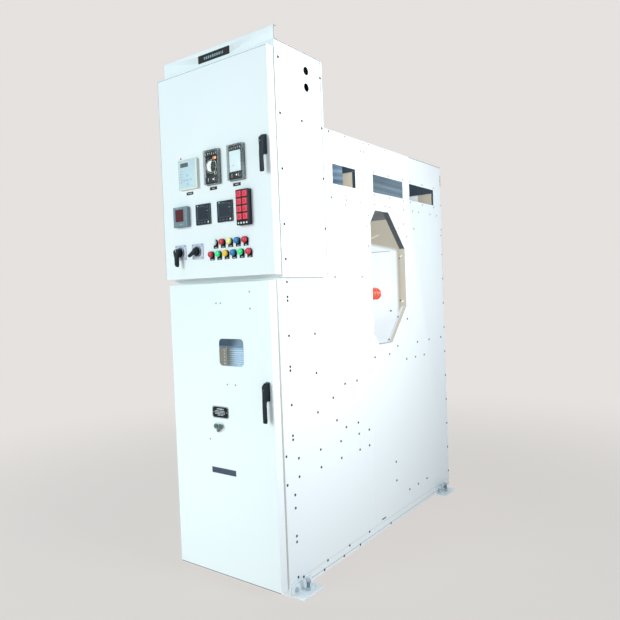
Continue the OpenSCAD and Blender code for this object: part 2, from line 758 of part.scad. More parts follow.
module lv_door() {
    color(white) difference() {
        union() {
            door_pan(lv_hw, lv_face, lv_rear, lv_door_z0, lv_door_z1);
            hinge_barrels(lv_hinge, lv_hinge_zs);
        }
        hinge_notches(lv_hinge, lv_hinge_zs);
        hinge_bores(lv_hinge, lv_hinge_zs);
        plate_y(relay_num, lv_face - cut, sheet + 2 * cut) square([112, 126], center = true);
        for (at = [relay_disc, relay_plate])
            plate_y(at, lv_face - cut, sheet + 2 * cut) square([relay_w - 10, relay_h - 10], center = true);
        for (k = [0 : 2]) plate_y([meter_x0 + k * meter_pitch, meter_z], lv_face - cut, sheet + 2 * cut)
            square([meter - 4, meter - 4], center = true);
        plate_y(annun, lv_face - cut, sheet + 2 * cut) square([annun_w - 6, annun_h - 6], center = true);
        for (at = [switch_1, switch_2]) rod_y(at, lv_face - cut, lv_face + sheet + cut, 15);
        for (k = [0 : 4]) rod_y(lamps_top + [k * lamp_pitch, 0], lv_face - cut, lv_face + sheet + cut, 11.3);
        for (k = [0 : 5]) rod_y(lamps_low + [k * lamp_pitch, 0], lv_face - cut, lv_face + sheet + cut, 11.3);
        rod_y(lv_handle_at, lv_face - cut, lv_face + sheet + cut, 5 + run_fit);
    }
}

module lv_door_seal() {
    color(rubber) door_seal(lv_hw, lv_rear, lv_door_z0, lv_door_z1);
}

module numerical_relay() {
    color(pale) difference() {
        union() {
            plate_y(relay_num, lv_face - 14, 14) rounded(126, 142, 4);
            plate_y(relay_num, lv_face - cut, 130) square([110, 124], center = true);
        }
        plate_y(relay_num + [0, 38], lv_face - 16, 4) rounded(82, 34, 2);
        plate_y(relay_num + [0, -28], lv_face - 16, 3) rounded(104, 72, 3);
    }
    color(galvanised) for (k = [-1 : 1], j = [-1 : 1])
        plate_y(relay_num + [k * 24, -28 + j * 18], lv_face - 14.5, 2) rounded(16, 10, 2);
}

module flush_relays() {
    d = relay_d;
    color(black) for (at = [relay_disc, relay_plate]) {
        plate_y(at, lv_face - 4, 4) rounded(relay_w - 8, relay_h - 8, 3);
        plate_y(at, lv_face - cut / 2, 150) square([relay_w - 12, relay_h - 12], center = true);
        for (z = [-1, 1]) plate_y(at + [0, z * (relay_h / 2 - 17)], lv_face - d + 4, d - 3)
            rounded(relay_w - 14, 20, 3);
    }
    color(zinc) rod_y(relay_disc + [-8, 4], lv_face - d + 7, lv_face - 3, 19);
    color(white) plate_y(relay_plate + [0, 0], lv_face - d + 8, d - 11) rounded(66, 96, 2);
}

module relay_covers() {
    d = relay_d;
    color([0.75, 0.82, 0.85, 0.4]) for (at = [relay_disc, relay_plate]) difference() {
        plate_y(at, lv_face - d, d) rounded(relay_w, relay_h, 4);
        plate_y(at, lv_face - d + 2, d) rounded(relay_w - 4, relay_h - 4, 3);
    }
}

module panel_meters() {
    for (k = [0 : 2]) color(k == 0 ? galvanised : black) difference() {
        at = [meter_x0 + k * meter_pitch, meter_z];
        proud = k == 0 ? 20 : 6;
        union() {
            plate_y(at, lv_face - proud, proud) rounded(meter, meter, 3);
            plate_y(at, lv_face - cut, 78) square([meter - 6, meter - 6], center = true);
        }
        plate_y(at + [0, 6], lv_face - proud - cut, 3) rounded(meter - 28, meter - 36, 2);
    }
}

function annun_key(k) = annun + [-24 + 16 * k, -annun_h / 2 + 9];

module annunciator() {
    window_caps();
    color(black) difference() {
        union() {
            plate_y(annun, lv_face - 22, 22) rounded(annun_w, annun_h, 3);
            plate_y(annun, lv_face - cut, 110) square([annun_w - 8, annun_h - 8], center = true);
        }
        for (k = [0 : 3]) plate_y(annun_key(k), lv_face - 23, 8) square([8.6, 8.6], center = true);
    }
}

module window_caps() {
    color([0.85, 0.12, 0.2]) for (k = [0, 1], j = [0 : 3])
        plate_y(annun + [-16.5 + 33 * k, annun_h / 2 - 20 - 33 * j], lv_face - 25, 3) rounded(29, 29, 2);
}

module annunciator_button(k) {
    color("white") plate_y(annun_key(k), lv_face - 24.5, 7) rounded(8, 8, 1);
}

module annunciator_button_1() {
    annunciator_button(0);
}

module annunciator_button_2() {
    annunciator_button(1);
}

module annunciator_button_3() {
    annunciator_button(2);
}

module annunciator_button_4() {
    annunciator_button(3);
}

module rotary_switches() {
    for (at = [switch_1, switch_2]) difference() {
        union() {
            color(pale) plate_y(at, lv_face - 4, 4) rounded(switch_side, switch_side, 4);
            color(black) {
                rod_y(at, lv_face - 9, lv_face - 3, 24);
                rod_y(at, lv_face - 2, lv_face + 6, 14.8);
                plate_y(at, lv_face + sheet, 92) square([56, 56], center = true);
            }
        }
        rod_y(at, lv_face - 10, lv_face + 20, 6 + run_fit);
    }
}

module control_grip() {
    color(black) {
        rod_y(switch_1, lv_face - 20, lv_face + 16, 6);
        rod_y(switch_1, lv_face - 34, lv_face - 9.5, 17);
        plate_y(switch_1 + [0, -27], lv_face - 34, 16) rounded(20, 84, 9.5);
        plate_y(switch_1 + [0, -52], lv_face - 42, 12) rounded(16, 34, 7.5);
    }
}

module selector_knob() {
    color(black) {
        rod_y(switch_2, lv_face - 20, lv_face + 16, 6);
        rod_y(switch_2, lv_face - 26, lv_face - 9.5, 18);
        translate([switch_2[0], 0, switch_2[1]]) rotate([0, -30, 0])
            plate_y([-17, 0], lv_face - 32, 12) rounded(52, 13, 6);
    }
}

lamp_colours = [["white", "red", "yellow", "blue", "red"],
    ["red", "green", "orange", "blue", "green", "red"]];

module lamp(at, tint) {
    color(tint) {
        rod_y(at, lv_face - 12, lv_face, lamp_r);
        translate([at[0], lv_face - 11.5, at[1]]) rotate([90, 0, 0]) rotate_extrude($fn = 40)
            intersection() {
                translate([0, -12]) circle(22, $fn = 64);
                square([12, 20]);
            }
        rod_y(at, lv_face - 1, lv_face + 46, 11);
    }
}

module indicator_lamps() {
    for (k = [0 : 4]) lamp(lamps_top + [k * lamp_pitch, 0], lamp_colours[0][k]);
    for (k = [0 : 5]) lamp(lamps_low + [k * lamp_pitch, 0], lamp_colours[1][k]);
}

label_t = 1;

module label_plates() {
    color(black) {
        for (at = [relay_num - [3, 88], relay_disc - [5, 95], relay_plate - [7, 96]])
            plate_y(at, lv_face - label_t, label_t) rounded(45, 14, 1);
        for (k = [0 : 4]) lamp_label(lamps_top + [k * lamp_pitch, 0]);
        for (k = [0 : 5]) lamp_label(lamps_low + [k * lamp_pitch, 0]);
    }
}

module lamp_label(at) {
    difference() {
        plate_y(at - [0, 12], lv_face - label_t, label_t) rounded(30, 30, 1.5);
        rod_y(at, lv_face - 3, lv_face + 2, lamp_r + 0.3);
    }
}

// A lever handle: its boss, the lever that stands off the door, and its spindle
module handle(at, face, rear, drop) {
    w = 18;
    stand = 34;
    color(black) {
        plate_x(at[0] - w / 2, w) polygon([[face - 0.5, at[1] + 31], [face - stand + 8, at[1] + 31],
            [face - stand, at[1] + 20], [face - stand, at[1] - drop], [face - stand + 9, at[1] - drop],
            [face - stand + 15, at[1] - 47], [face - 0.5, at[1] - 47]]);
        rod_y(at, face - 8, rear + sheet + 6, 5);
        box([at[0] - 9, at[0] + 4.5], [rear + sheet + 2, rear + sheet + 6], [at[1] - 4.5, at[1] + 4.5]);
    }
}

module lv_handle() {
    handle(lv_handle_at, lv_face, yf, 127);
}

// Breaker door and what it carries

module breaker_door() {
    color(white) difference() {
        union() {
            door_pan(hw, bk_face, bk_rear, bk_door_z0, bk_door_z1);
            hinge_barrels(bk_hinge, bk_hinge_zs);
        }
        hinge_notches(bk_hinge, bk_hinge_zs);
        hinge_bores(bk_hinge, bk_hinge_zs);
        plate_y(window_at, bk_face - cut, sheet + 2 * cut) rounded(window_size[0], window_size[1], 20);
        plate_y(slot_at, bk_face - cut, sheet + 2 * cut) square(slot_size, center = true);
        rod_y(bk_handle_at, bk_face - cut, bk_face + sheet + cut, 5 + run_fit);
        rod_y(lock_at, bk_face - cut, bk_face + sheet + cut, 8 + run_fit);
    }
    data_plate();
}

module data_plate() {
    color(black) plate_y([-6, 811], bk_face - 1.5, 1.5) difference() {
        square([104, 55], center = true);
        for (x = [-1, 1], z = [-1, 1]) translate([x * 52, z * 27.5]) circle(6, $fn = 32);
    }
}

module breaker_door_seal() {
    color(rubber) door_seal(hw, bk_rear, bk_door_z0, bk_door_z1);
}

module window_pane() {
    color([0.7, 0.8, 0.85, 0.4]) plate_y(window_at, bk_face + sheet, 6)
        rounded(window_size[0] + 24, window_size[1] + 24, 26);
}

module breaker_handle() {
    handle(bk_handle_at, bk_face, yf, 143);
}

module wing_lock() {
    color([0.45, 0.52, 0.5]) {
        rod_y(lock_at, bk_face - 10, bk_face + 24, 8);
        rod_y(lock_at, bk_face - 6, bk_face - 0.3, 14);
        for (x = [-1, 1]) rod_y(lock_at + [x * 14, 6], bk_face - 16, bk_face - 9, 12);
        plate_y(lock_at + [0, -8], bk_face - 16, 7) rounded(14, 24, 6);
        plate_y(lock_at + [0, 12], bk_face + 18, 5) rounded(18, 40, 6);
    }
}

// Truck with the vacuum circuit breaker

axle_ys = [truck_y0 + 45, truck_y0 + 290];
axle_z = floor_top + wheel_r;

module truck_chassis() {
    color(galvanised) difference() {
        union() {
            both_sides() box([mech_w + 2, mech_w + 5], [truck_y0, truck_y0 + 330],
                [floor_top + 21, mech_z0]);
            box([-mech_w - 3, mech_w + 3], [truck_y0, truck_y0 + 330],
                [axle_z + wheel_r + 6, axle_z + wheel_r + 10]);
            box([-mech_w - 3, mech_w + 3], [truck_y0, truck_y0 + 330], [mech_z0 - 4, mech_z0]);
            box([-mech_w - 3, mech_w + 3], [truck_y0, truck_y0 + 3], [axle_z + wheel_r + 8, mech_z0 - 2]);
        }
        both_sides() for (y = axle_ys) rod_x(mech_w, mech_w + 7, y, axle_z, 8 + run_fit);
    }
}

module wheel_pair(y) {
    color(zinc) {
        rod_x(-mech_w - 9, mech_w + 9, y, axle_z, 8);
        both_sides() rod_x(mech_w - 24, mech_w - 2, y, axle_z, wheel_r - 0.2);
    }
}

module front_wheels() {
    wheel_pair(axle_ys[0]);
}

module rear_wheels() {
    wheel_pair(axle_ys[1]);
}

module mechanism_box() {
    color(pale) difference() {
        box([-mech_w, mech_w], [truck_y0, mech_y1], [mech_z0, mech_z1]);
        box([-mech_w + 3, mech_w - 3], [truck_y0 - cut, mech_y1 - 3], [mech_z0 + 3, mech_z1 - 3]);
        for (x = phases) rod_y([x, mech_z0 + 90], mech_y1 - 4, mech_y1 + cut, 16);
    }
}

close_at = [-60, 640];

module mechanism_cover() {
    ribs = 9;
    color(pale) difference() {
        union() {
            box([-mech_w, mech_w], [truck_y0 - 3, truck_y0], [mech_z0, mech_z1]);
            for (k = [0 : ribs]) box([-mech_w + 10, mech_w - 10], [truck_y0 - 9, truck_y0 - 2],
                [mech_z1 - 16 - k * 11, mech_z1 - 11 - k * 11]);
            plate_y([0, 640], truck_y0 - 8, 6) rounded(260, 130, 8);
        }
        rod_y(close_at, truck_y0 - 10, truck_y0 + 4, 13);
        plate_y([60, 660], truck_y0 - 9, 4) square([44, 20], center = true);
        plate_y([60, 620], truck_y0 - 9, 4) square([44, 20], center = true);
    }
}

module close_button() {
    color([0.1, 0.5, 0.2]) {
        rod_y(close_at, truck_y0 - 15, truck_y0 + 1, 12.6);
        rod_y(close_at, truck_y0, truck_y0 + 20, 5);
    }
}

module pole_housings() {
    color(epoxy) for (x = phases) difference() {
        union() {
            translate([x, pole_y, lower_z - 150]) cylinder(upper_z - lower_z + 280, pole_r, pole_r, $fn = 64);
            for (k = [0 : 5]) translate([x, pole_y, lower_z + 55 + k * 38])
                cylinder(12, pole_r + 8, pole_r + 8, $fn = 64);
            for (z = [lower_z - 60, upper_z - 80])
                box([x - 40, x + 40], [mech_y1, pole_y], [z, z + 40]);
        }
        translate([x, pole_y, lower_z - 150 - cut])
            cylinder(upper_z - lower_z + 265, pole_r - 10, pole_r - 10, $fn = 64);
        for (z = [lower_z, upper_z]) rod_y([x, z], pole_y, pole_y + pole_r + 10, 26);
    }
}

module vacuum_interrupters() {
    z0 = lower_z + 32;
    z1 = upper_z - 34;
    color([0.92, 0.92, 0.9]) for (x = phases) translate([x, pole_y, 0]) difference() {
        rotate_extrude($fn = 64) polygon([[0, z0], [26, z0], [vi_r - 6, z0 + 10], [vi_r - 6, z0 + 24],
            [vi_r, z0 + 28], [vi_r, z0 + 90], [vi_r - 3, z0 + 94], [vi_r - 3, z1 - 94], [vi_r, z1 - 90],
            [vi_r, z1 - 28], [vi_r - 6, z1 - 24], [vi_r - 6, z1 - 10], [26, z1], [0, z1]]);
        translate([0, 0, z0 - cut]) cylinder(35, 11, 11, $fn = 40);
    }
}

module tulip(at) {
    translate([at[0], 0, at[1]]) rotate([-90, 0, 0]) rotate_extrude($fn = 48)
        polygon([[0, pole_y + 24], [20, pole_y + 24], [20, tulip_y0 - 8], [34, tulip_y0],
            [34, tulip_y0 + 62], [26, tulip_y0 + 66], [18.5, tulip_y0 + 60], [18.5, tulip_y0 + 6],
            [0, tulip_y0 + 6]]);
}

module contact_arms() {
    color(copper) for (x = phases) {
        union() {
            tulip([x, upper_z]);
            translate([x, pole_y, upper_z - 34]) cylinder(68, 38, 38, $fn = 48);
        }
        difference() {
            union() {
                tulip([x, lower_z]);
                translate([x, pole_y, lower_z - 26]) cylinder(50, 38, 38, $fn = 48);
            }
            translate([x, pole_y, lower_z - 30]) cylinder(60, 12, 12, $fn = 40);
        }
    }
}

module push_rods() {
    color([0.85, 0.75, 0.45]) for (x = phases) translate([x, pole_y, 0]) {
        translate([0, 0, lower_z - 45]) cylinder(45 + 32 + 33 - stroke - 3, 10, 10, $fn = 40);
        translate([0, 0, lower_z - 205]) cylinder(164, 18, 18, $fn = 40);
        for (k = [0 : 3]) translate([0, 0, lower_z - 150 + k * 26]) cylinder(8, 24, 24, $fn = 40);
    }
}

base_frame();
foot_brackets();
foot_bolts();
door_frame();
side_sheets_front();
side_sheets_rear();
busbar_opening_collars();
roof_sheet();
relief_flap_front();
relief_flap_middle();
relief_flap_rear();
rear_covers();
body_screws();
compartment_sheets();
lv_chamber();
lv_upstand();
lv_mounting_plate();
din_rail_devices();
spouts();
fixed_contacts();
branch_bars();
post_insulators();
current_transformers();
cable_bars();
gland_plate();
earth_bar();
breaker_rails();
shutters();
lv_door();
lv_door_seal();
numerical_relay();
flush_relays();
relay_covers();
panel_meters();
annunciator();
rotary_switches();
indicator_lamps();
label_plates();
lv_handle();
control_grip();
selector_knob();
annunciator_button_1();
annunciator_button_2();
annunciator_button_3();
annunciator_button_4();
breaker_door();
breaker_door_seal();
window_pane();
breaker_handle();
wing_lock();
truck_chassis();
mechanism_box();
mechanism_cover();
pole_housings();
vacuum_interrupters();
contact_arms();
push_rods();
front_wheels();
rear_wheels();
close_button();
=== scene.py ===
import json
from math import copysign, cos, hypot, pi, radians, sin

import bmesh
import bpy
from mathutils import Matrix, Vector

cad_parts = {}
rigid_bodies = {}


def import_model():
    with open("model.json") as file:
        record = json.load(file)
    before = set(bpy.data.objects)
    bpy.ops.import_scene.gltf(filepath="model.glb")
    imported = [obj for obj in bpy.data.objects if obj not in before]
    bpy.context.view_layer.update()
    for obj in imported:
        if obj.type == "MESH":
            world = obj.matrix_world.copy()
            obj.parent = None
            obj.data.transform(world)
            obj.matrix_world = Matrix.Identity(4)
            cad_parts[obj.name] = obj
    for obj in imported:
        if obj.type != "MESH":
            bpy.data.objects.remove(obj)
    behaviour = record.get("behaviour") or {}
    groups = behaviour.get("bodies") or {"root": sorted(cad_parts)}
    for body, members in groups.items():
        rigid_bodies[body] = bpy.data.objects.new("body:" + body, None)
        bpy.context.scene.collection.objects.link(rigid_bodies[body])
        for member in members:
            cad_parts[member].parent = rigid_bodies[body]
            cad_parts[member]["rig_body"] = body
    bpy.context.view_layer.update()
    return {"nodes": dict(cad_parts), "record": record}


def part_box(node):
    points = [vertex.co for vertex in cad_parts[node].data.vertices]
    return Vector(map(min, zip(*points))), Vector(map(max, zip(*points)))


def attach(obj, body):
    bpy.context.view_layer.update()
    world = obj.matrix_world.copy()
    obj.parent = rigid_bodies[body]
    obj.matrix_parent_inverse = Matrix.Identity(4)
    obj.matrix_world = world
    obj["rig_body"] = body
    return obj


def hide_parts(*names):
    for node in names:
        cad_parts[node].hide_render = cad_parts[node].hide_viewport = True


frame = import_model()
nodes = frame["nodes"]
bodyOf = {name: obj["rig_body"] for name, obj in nodes.items()}
print("frame loaded:", len(nodes), "nodes")

mm = 0.001
corners = ((-1, 1), (1, 1), (-1, -1), (1, -1))


def tone(red, green, blue):  # a colour as a picture program gives it, 0 to 255
    return tuple((c / 12.92 if c <= 0.04045 else ((c + 0.055) / 1.055) ** 2.4)
                 for c in (red / 255, green / 255, blue / 255)) + (1,)


def added(name, data):  # a new object in the scene
    obj = bpy.data.objects.new(name, data)
    bpy.context.scene.collection.objects.link(obj)
    return obj


view = {
    "place": (1.97458, -2.8779, 1.36184),
    "yaw": 36.179, "pitch": -1.891, "roll": -2.165,
    "lens": 34.709,
}


def makeCamera():
    data = bpy.data.cameras.new("camera")
    data.lens, data.sensor_width, data.clip_end = view["lens"], 36, 100
    camera = added("camera", data)
    camera.matrix_world = Matrix.Translation(view["place"])
    for angle, axis in ((view["yaw"], "Z"), (90 + view["pitch"], "X"), (view["roll"], "Z")):
        camera.matrix_world @= Matrix.Rotation(radians(angle), 4, axis)
    bpy.context.scene.camera = camera


def summed(operation, reflected=False):
    def act(link, other):
        first, second = (other, link) if reflected else (link, other)
        return link.tree.node("ShaderNodeMath", {0: first, 1: second}, operation=operation)
    return act


class Link:  # a socket that takes part in sums
    def __init__(self, tree, socket):
        self.tree, self.socket = tree, socket

    __add__, __radd__ = summed("ADD"), summed("ADD", True)
    __sub__, __rsub__ = summed("SUBTRACT"), summed("SUBTRACT", True)
    __mul__, __rmul__ = summed("MULTIPLY"), summed("MULTIPLY", True)
    __truediv__, __rtruediv__ = summed("DIVIDE"), summed("DIVIDE", True)
    __gt__ = summed("GREATER_THAN")


class Tree:
    def node(self, kind, values=None, out=0, **settings):
        made = self.tree.nodes.new(kind)
        for key, value in settings.items():
            setattr(made, key, value)
        for key, value in (values or {}).items():
            for part in value if isinstance(value, list) else [value]:  # a list joins several links
                if isinstance(part, Link):
                    self.tree.links.new(part.socket, made.inputs[key])
                else:
                    made.inputs[key].default_value = part
        return Link(self, made.outputs[out]) if len(made.outputs) else None


class Finish(Tree):  # a material or the world, with its nodes
    def __init__(self, name, owner=None):
        self.owner = owner or bpy.data.materials.new(name)
        self.owner.use_nodes = True
        self.tree = self.owner.node_tree
        self.tree.nodes.clear()
        self.spot = None

    def place(self):  # where a point of the piece is, in metres
        if self.spot is None:
            self.spot = self.node("ShaderNodeTexCoord", out="Object")
        return self.spot

    def along(self, axis):
        return self.node("ShaderNodeSeparateXYZ", {0: self.place()}, out=axis)

    def noise(self, scale, detail=2.0, stretch=None):
        where = self.place()
        if stretch:
            where = self.node("ShaderNodeMapping", {"Vector": where, "Scale": stretch})
        return self.node("ShaderNodeTexNoise", {"Vector": where, "Scale": scale, "Detail": detail})

    def mix(self, share, first, second):
        return self.node("ShaderNodeMix", {0: share, 6: first, 7: second}, out=2, data_type="RGBA")

    def step(self, value, low, high):  # 0 below low, 1 above high, smooth between
        return self.node("ShaderNodeMapRange", {0: value, 1: low, 2: high}, interpolation_type="SMOOTHSTEP")

    def bump(self, height, depth, strength=0.3, **below):
        return self.node("ShaderNodeBump", {"Height": height, "Distance": depth, "Strength": strength, **below})

    def shader(self, skin, rough, normal, **values):
        named = {key.replace("_", " "): value for key, value in values.items()}
        made = self.node("ShaderNodeBsdfPrincipled", {
            "Base Color": skin, "Roughness": rough, "Normal": normal, **named})
        self.node("ShaderNodeOutputMaterial", {0: made})
        return self.owner


class Pattern(Tree):  # a Geometry Nodes tree with named inputs
    def __init__(self, name, **inputs):
        self.keys = {}
        self.tree = bpy.data.node_groups.new(name, "GeometryNodeTree")
        face = self.tree.interface
        face.new_socket("Geometry", in_out="OUTPUT", socket_type="NodeSocketGeometry")
        face.new_socket("Geometry", in_out="INPUT", socket_type="NodeSocketGeometry")
        for label, value in inputs.items():
            kind = "NodeSocketInt" if isinstance(value, int) else "NodeSocketFloat"
            made = face.new_socket(label, in_out="INPUT", socket_type=kind)
            made.default_value = value
            self.keys[label] = made.identifier
        self.entry = self.tree.nodes.new("NodeGroupInput")

    def given(self, label):
        return Link(self, self.entry.outputs[label])

    def vector(self, x=0.0, y=0.0, z=0.0):
        return self.node("ShaderNodeCombineXYZ", {0: x, 1: y, 2: z})

    def moved(self, geometry, by, **more):
        return self.node("GeometryNodeTransform", {"Geometry": geometry, "Translation": by, **more})

    def cone(self, sides, low, high, tall):
        return self.node("GeometryNodeMeshCone", {
            "Vertices": sides, "Radius Bottom": low, "Radius Top": high, "Depth": tall})

    def painted(self, geometry, finish):
        return self.node("GeometryNodeSetMaterial", {"Geometry": geometry, "Material": finishes[finish]})

    def joined(self, *parts):
        return self.node("GeometryNodeJoinGeometry", {0: list(reversed(parts))})

    def swept(self, start, end, steps, sides, scale):  # a round bar along a line
        line = self.node("GeometryNodeCurvePrimitiveLine", {0: start, 1: end})
        if steps:
            line = self.node("GeometryNodeResampleCurve", {0: line, 2: steps})
        circle = self.node("GeometryNodeCurvePrimitiveCircle", {0: sides, 4: 1.0})
        return self.node("GeometryNodeCurveToMesh", {0: line, 1: circle, 2: scale, 3: True})

    def towards(self):  # turns a shape to its point's own direction
        facing = self.node("GeometryNodeInputNamedAttribute", {0: "facing"}, data_type="FLOAT_VECTOR")
        return self.node("FunctionNodeAlignRotationToVector", {2: facing}, axis="Z")

    def spread(self, points, shape, turn=(0, 0, 0)):
        spots = self.node("GeometryNodeMeshToPoints", {0: points})
        made = self.node("GeometryNodeInstanceOnPoints", {"Points": spots, "Instance": shape, "Rotation": turn})
        return self.node("GeometryNodeRealizeInstances", {0: made})

    def ends(self, geometry):
        self.node("NodeGroupOutput", {0: geometry})
        return self


paleRoom = {
    "background": tone(229, 226, 224),
    "floor": tone(222, 210, 203), "patch": tone(214, 213, 210), "glow": tone(223, 219, 216),
    "light": tone(182, 218, 236),
    "ambient": 0.43, "even": 0.8,
    "clearOf": 0.9, "goneBy": 4.6, "reach": 40,  # metres from the middle: the floor's fade and its edge
}


def makeRoom():
    world = bpy.data.worlds.new("room")
    bpy.context.scene.world = world
    sky = Finish("room", world)
    paths = sky.node("ShaderNodeLightPath").socket.node.outputs
    seen = Link(sky, paths["Is Camera Ray"]) + Link(sky, paths["Is Glossy Ray"]) \
        + Link(sky, paths["Is Transmission Ray"]) > 0.5
    strength = seen * (1 - paleRoom["ambient"]) + paleRoom["ambient"]
    colour = sky.mix(seen, paleRoom["light"], paleRoom["background"])
    light = sky.node("ShaderNodeBackground", {0: colour, 1: strength})
    sky.node("ShaderNodeOutputWorld", {0: light})

    mesh = bpy.data.meshes.new("floor")
    shape = bmesh.new()
    bmesh.ops.create_circle(shape, cap_ends=True, radius=paleRoom["reach"], segments=64)
    shape.to_mesh(mesh)
    floor = added("floor", mesh)
    ground = Finish("ground")
    far = ground.node("ShaderNodeVectorMath", {0: ground.place()}, out="Value", operation="LENGTH")
    fade = ground.step(far, paleRoom["clearOf"], paleRoom["goneBy"])
    colour = ground.mix(ground.noise(1.2, 3.0) * 0.05, paleRoom["floor"], paleRoom["patch"])
    matte = ground.node("ShaderNodeBsdfDiffuse", {0: colour})
    glow = ground.mix(fade, paleRoom["glow"], paleRoom["background"])
    paleLight = ground.node("ShaderNodeEmission", {0: glow, 1: 1.0})
    share = fade * (1 - paleRoom["even"]) + paleRoom["even"]
    both = ground.node("ShaderNodeMixShader", {0: share, 1: matte, 2: paleLight})
    ground.node("ShaderNodeOutputMaterial", {0: both})
    mesh.materials.append(ground.owner)


lampSet = {  # place, aimed at, size in metres, watts, colour, spread in degrees, and the one group it lights
    "key": ((-2.0, -5.4, 3.0), (-0.1, -0.9, 1.6), 1.8, 132, (0.8, 0.99, 1.0), 180, None),
    "low": ((-1.4, -4.8, 0.5), (0.0, -0.9, 0.35), 1.2, 3.0, (0.86, 1.0, 0.98), 40, None),
    "side": ((4.2, -0.56, 2.7), (0.35, -0.58, 1.7), 1.6, 24.6, (0.945, 1.02, 1.06), 60, None),
    "back": ((-1.5, 4.5, 4.0), (0, 0.5, 1.4), 2.5, 60, (1.0, 1.0, 1.0), 180, None),
    "ducts": ((4.1, -5.8, 2.05), (0.2, 0.0, 1.95), 0.6, 620, (1.0, 0.99, 0.97), 180, "ducts"),
    "busbarRoom": ((2.6, -3.0, 1.25), (0.1, 0.39, 1.15), 0.5, 178, (0.98, 1.0, 0.98), 180, "busbarRoom"),
    "breakerRoom": ((1.6, -3.3, 1.3), (0, -0.63, 1.0), 0.5, 100, (1.0, 1.0, 1.0), 180, "breakerRoom"),
}
litGroups = {name: bpy.data.collections.new(name) for name in ("ducts", "busbarRoom", "breakerRoom", "blocking")}


def makeLamps():
    for name, (place, target, size, watts, colour, spread, group) in lampSet.items():
        data = bpy.data.lights.new(name, "AREA")
        data.size, data.energy, data.color, data.spread = size, watts, colour, radians(spread)
        lamp = added(name, data)
        lamp.location = place
        lamp.rotation_euler = (Vector(target) - Vector(place)).to_track_quat("-Z", "Y").to_euler()
        if group:
            lamp.light_linking.receiver_collection = litGroups[group]
            lamp.light_linking.blocker_collection = litGroups["blocking"]


bpy.context.scene.view_settings.view_transform = "Standard"
makeCamera()
makeRoom()
makeLamps()
print("camera, room and lamps made")


def paintFinish(name, colour, shade, rough=0.42):
    f = Finish(name)
    drift, speck = f.noise(1.7), f.noise(420)
    peel = f.bump(f.noise(310), 0.00012, 0.5, Normal=f.bump(f.noise(6, 1.0), 0.004, 0.06))
    return f.shader(f.mix(drift * 0.5 + speck * 0.16, colour, shade), drift * 0.12 + rough, peel,
                    Specular_IOR_Level=0.4)


def spangleFinish(name, colour, shade):
    f = Finish(name)
    cells = f.node("ShaderNodeTexVoronoi", {"Vector": f.place(), "Scale": 75}, out="Color")
    flake = f.node("ShaderNodeSeparateColor", {0: cells}, out=0)
    cloud = f.noise(5, 3.0)
    scratch = f.noise(90, 3.0, (1.0, 1.0, 0.06))
    return f.shader(f.mix(flake * 0.55 + cloud * 0.45, colour, shade), flake * 0.16 + cloud * 0.1 + 0.32,
                    f.bump(scratch + flake * 0.5, 0.0001), Metallic=0.55)


def metalFinish(name, colour, shade, rough=0.3, metallic=0.9, stretch=None):
    f = Finish(name)
    streak = f.noise(120, 4.0, stretch)
    return f.shader(f.mix(streak * 0.5 + f.noise(9) * 0.4, colour, shade), streak * 0.15 + rough,
                    f.bump(streak, 0.00008, 0.4), Metallic=metallic)


def plasticFinish(name, colour, shade, rough=0.35, grain=700, depth=0.00005, coat=0.0):
    f = Finish(name)
    fine = f.noise(grain)
    return f.shader(f.mix(f.noise(14, 3.0) * 0.7, colour, shade), fine * 0.14 + rough, f.bump(fine, depth, 0.5),
                    Coat_Weight=coat, Specular_IOR_Level=0.2 if max(colour[:3]) < 0.2 else 0.5)


def lensFinish(name, colour, shade):  # a lamp's lens
    return plasticFinish(name, colour, shade, 0.34, 120, 0.00002, 0.08)


def clearFinish(name, colour, pale, rough=0.06, share=0.25):
    f = Finish(name)
    haze = f.noise(40)
    return f.shader(f.mix(haze * 0.3, colour, pale), haze * 0.05 + rough, f.bump(haze, 0.00005, 0.2),
                    Alpha=haze * share * 0.4 + share, IOR=1.46)


def wallFinish(name):  # the busbar room's rear wall, with painted light: pale where daylight is painted on it, beige painted shade elsewhere, and a painted glint streak
    f = Finish(name)
    across, up = f.along(0), f.along(2)
    # edge: the mask of the painted pale patch, soft at its top and right rims
    edge = f.step(1.636 - (across - 0.078) * 0.266 - up, -0.012, 0.02) * f.step(0.255 - across, -0.012, 0.014)
    drift = f.noise(3)
    # streak: a painted glint across the beige part, towards the left
    streak = f.step(up - across * 0.3 - 1.644, -0.004, 0.004) * f.step(
        1.652 - up + across * 0.3, -0.004, 0.004) * f.step(0.15 - across, 0.0, 0.03)
    beige = f.mix(streak * 0.7, f.mix(drift, tone(186, 182, 170), tone(170, 164, 150)), tone(226, 226, 220))
    return f.shader(f.mix(edge, beige, tone(232, 242, 252)), drift * 0.1 + 0.5, f.bump(f.noise(300), 0.0001))


def collarFinish(name):  # the collar's lower faces, with painted light: beige painted shade at the opening and pale painted light further in
    f = Finish(name)
    drift = f.noise(8)
    skin = f.mix(f.step(f.along(0) + drift * 0.002, 0.299, 0.303), tone(206, 212, 217), tone(190, 184, 170))
    return f.shader(skin, drift * 0.1 + 0.5, f.bump(f.noise(300), 0.0001))


def streakFinish(name, light, dark, slope):  # brushed sheet with streaks that fall to the right
    f = Finish(name)
    fall = f.along(2) + f.along(0) * slope
    lines = f.node("ShaderNodeTexNoise", {"W": fall, "Scale": 34, "Detail": 2.0}, noise_dimensions="1D")
    tint = f.step(lines * 0.6 + f.noise(4) * 0.4, 0.3, 0.74)
    return f.shader(f.mix(tint, dark, light), lines * 0.2 + 0.3, f.bump(lines, 0.0003))


def screwFinish(name, low, high):  # zinc, dark at the front edge and towards the floor
    f = Finish(name)
    streak = f.noise(160, 3.0)
    pale = f.step(f.along(2) + streak * 0.2, 0.95, 1.85) * f.step(f.along(1) + streak * 0.02, -0.42, -0.36)
    return f.shader(f.mix(pale, low, high), streak * 0.2 + 0.36, f.bump(streak, 0.00006, 0.4), Metallic=0.4)


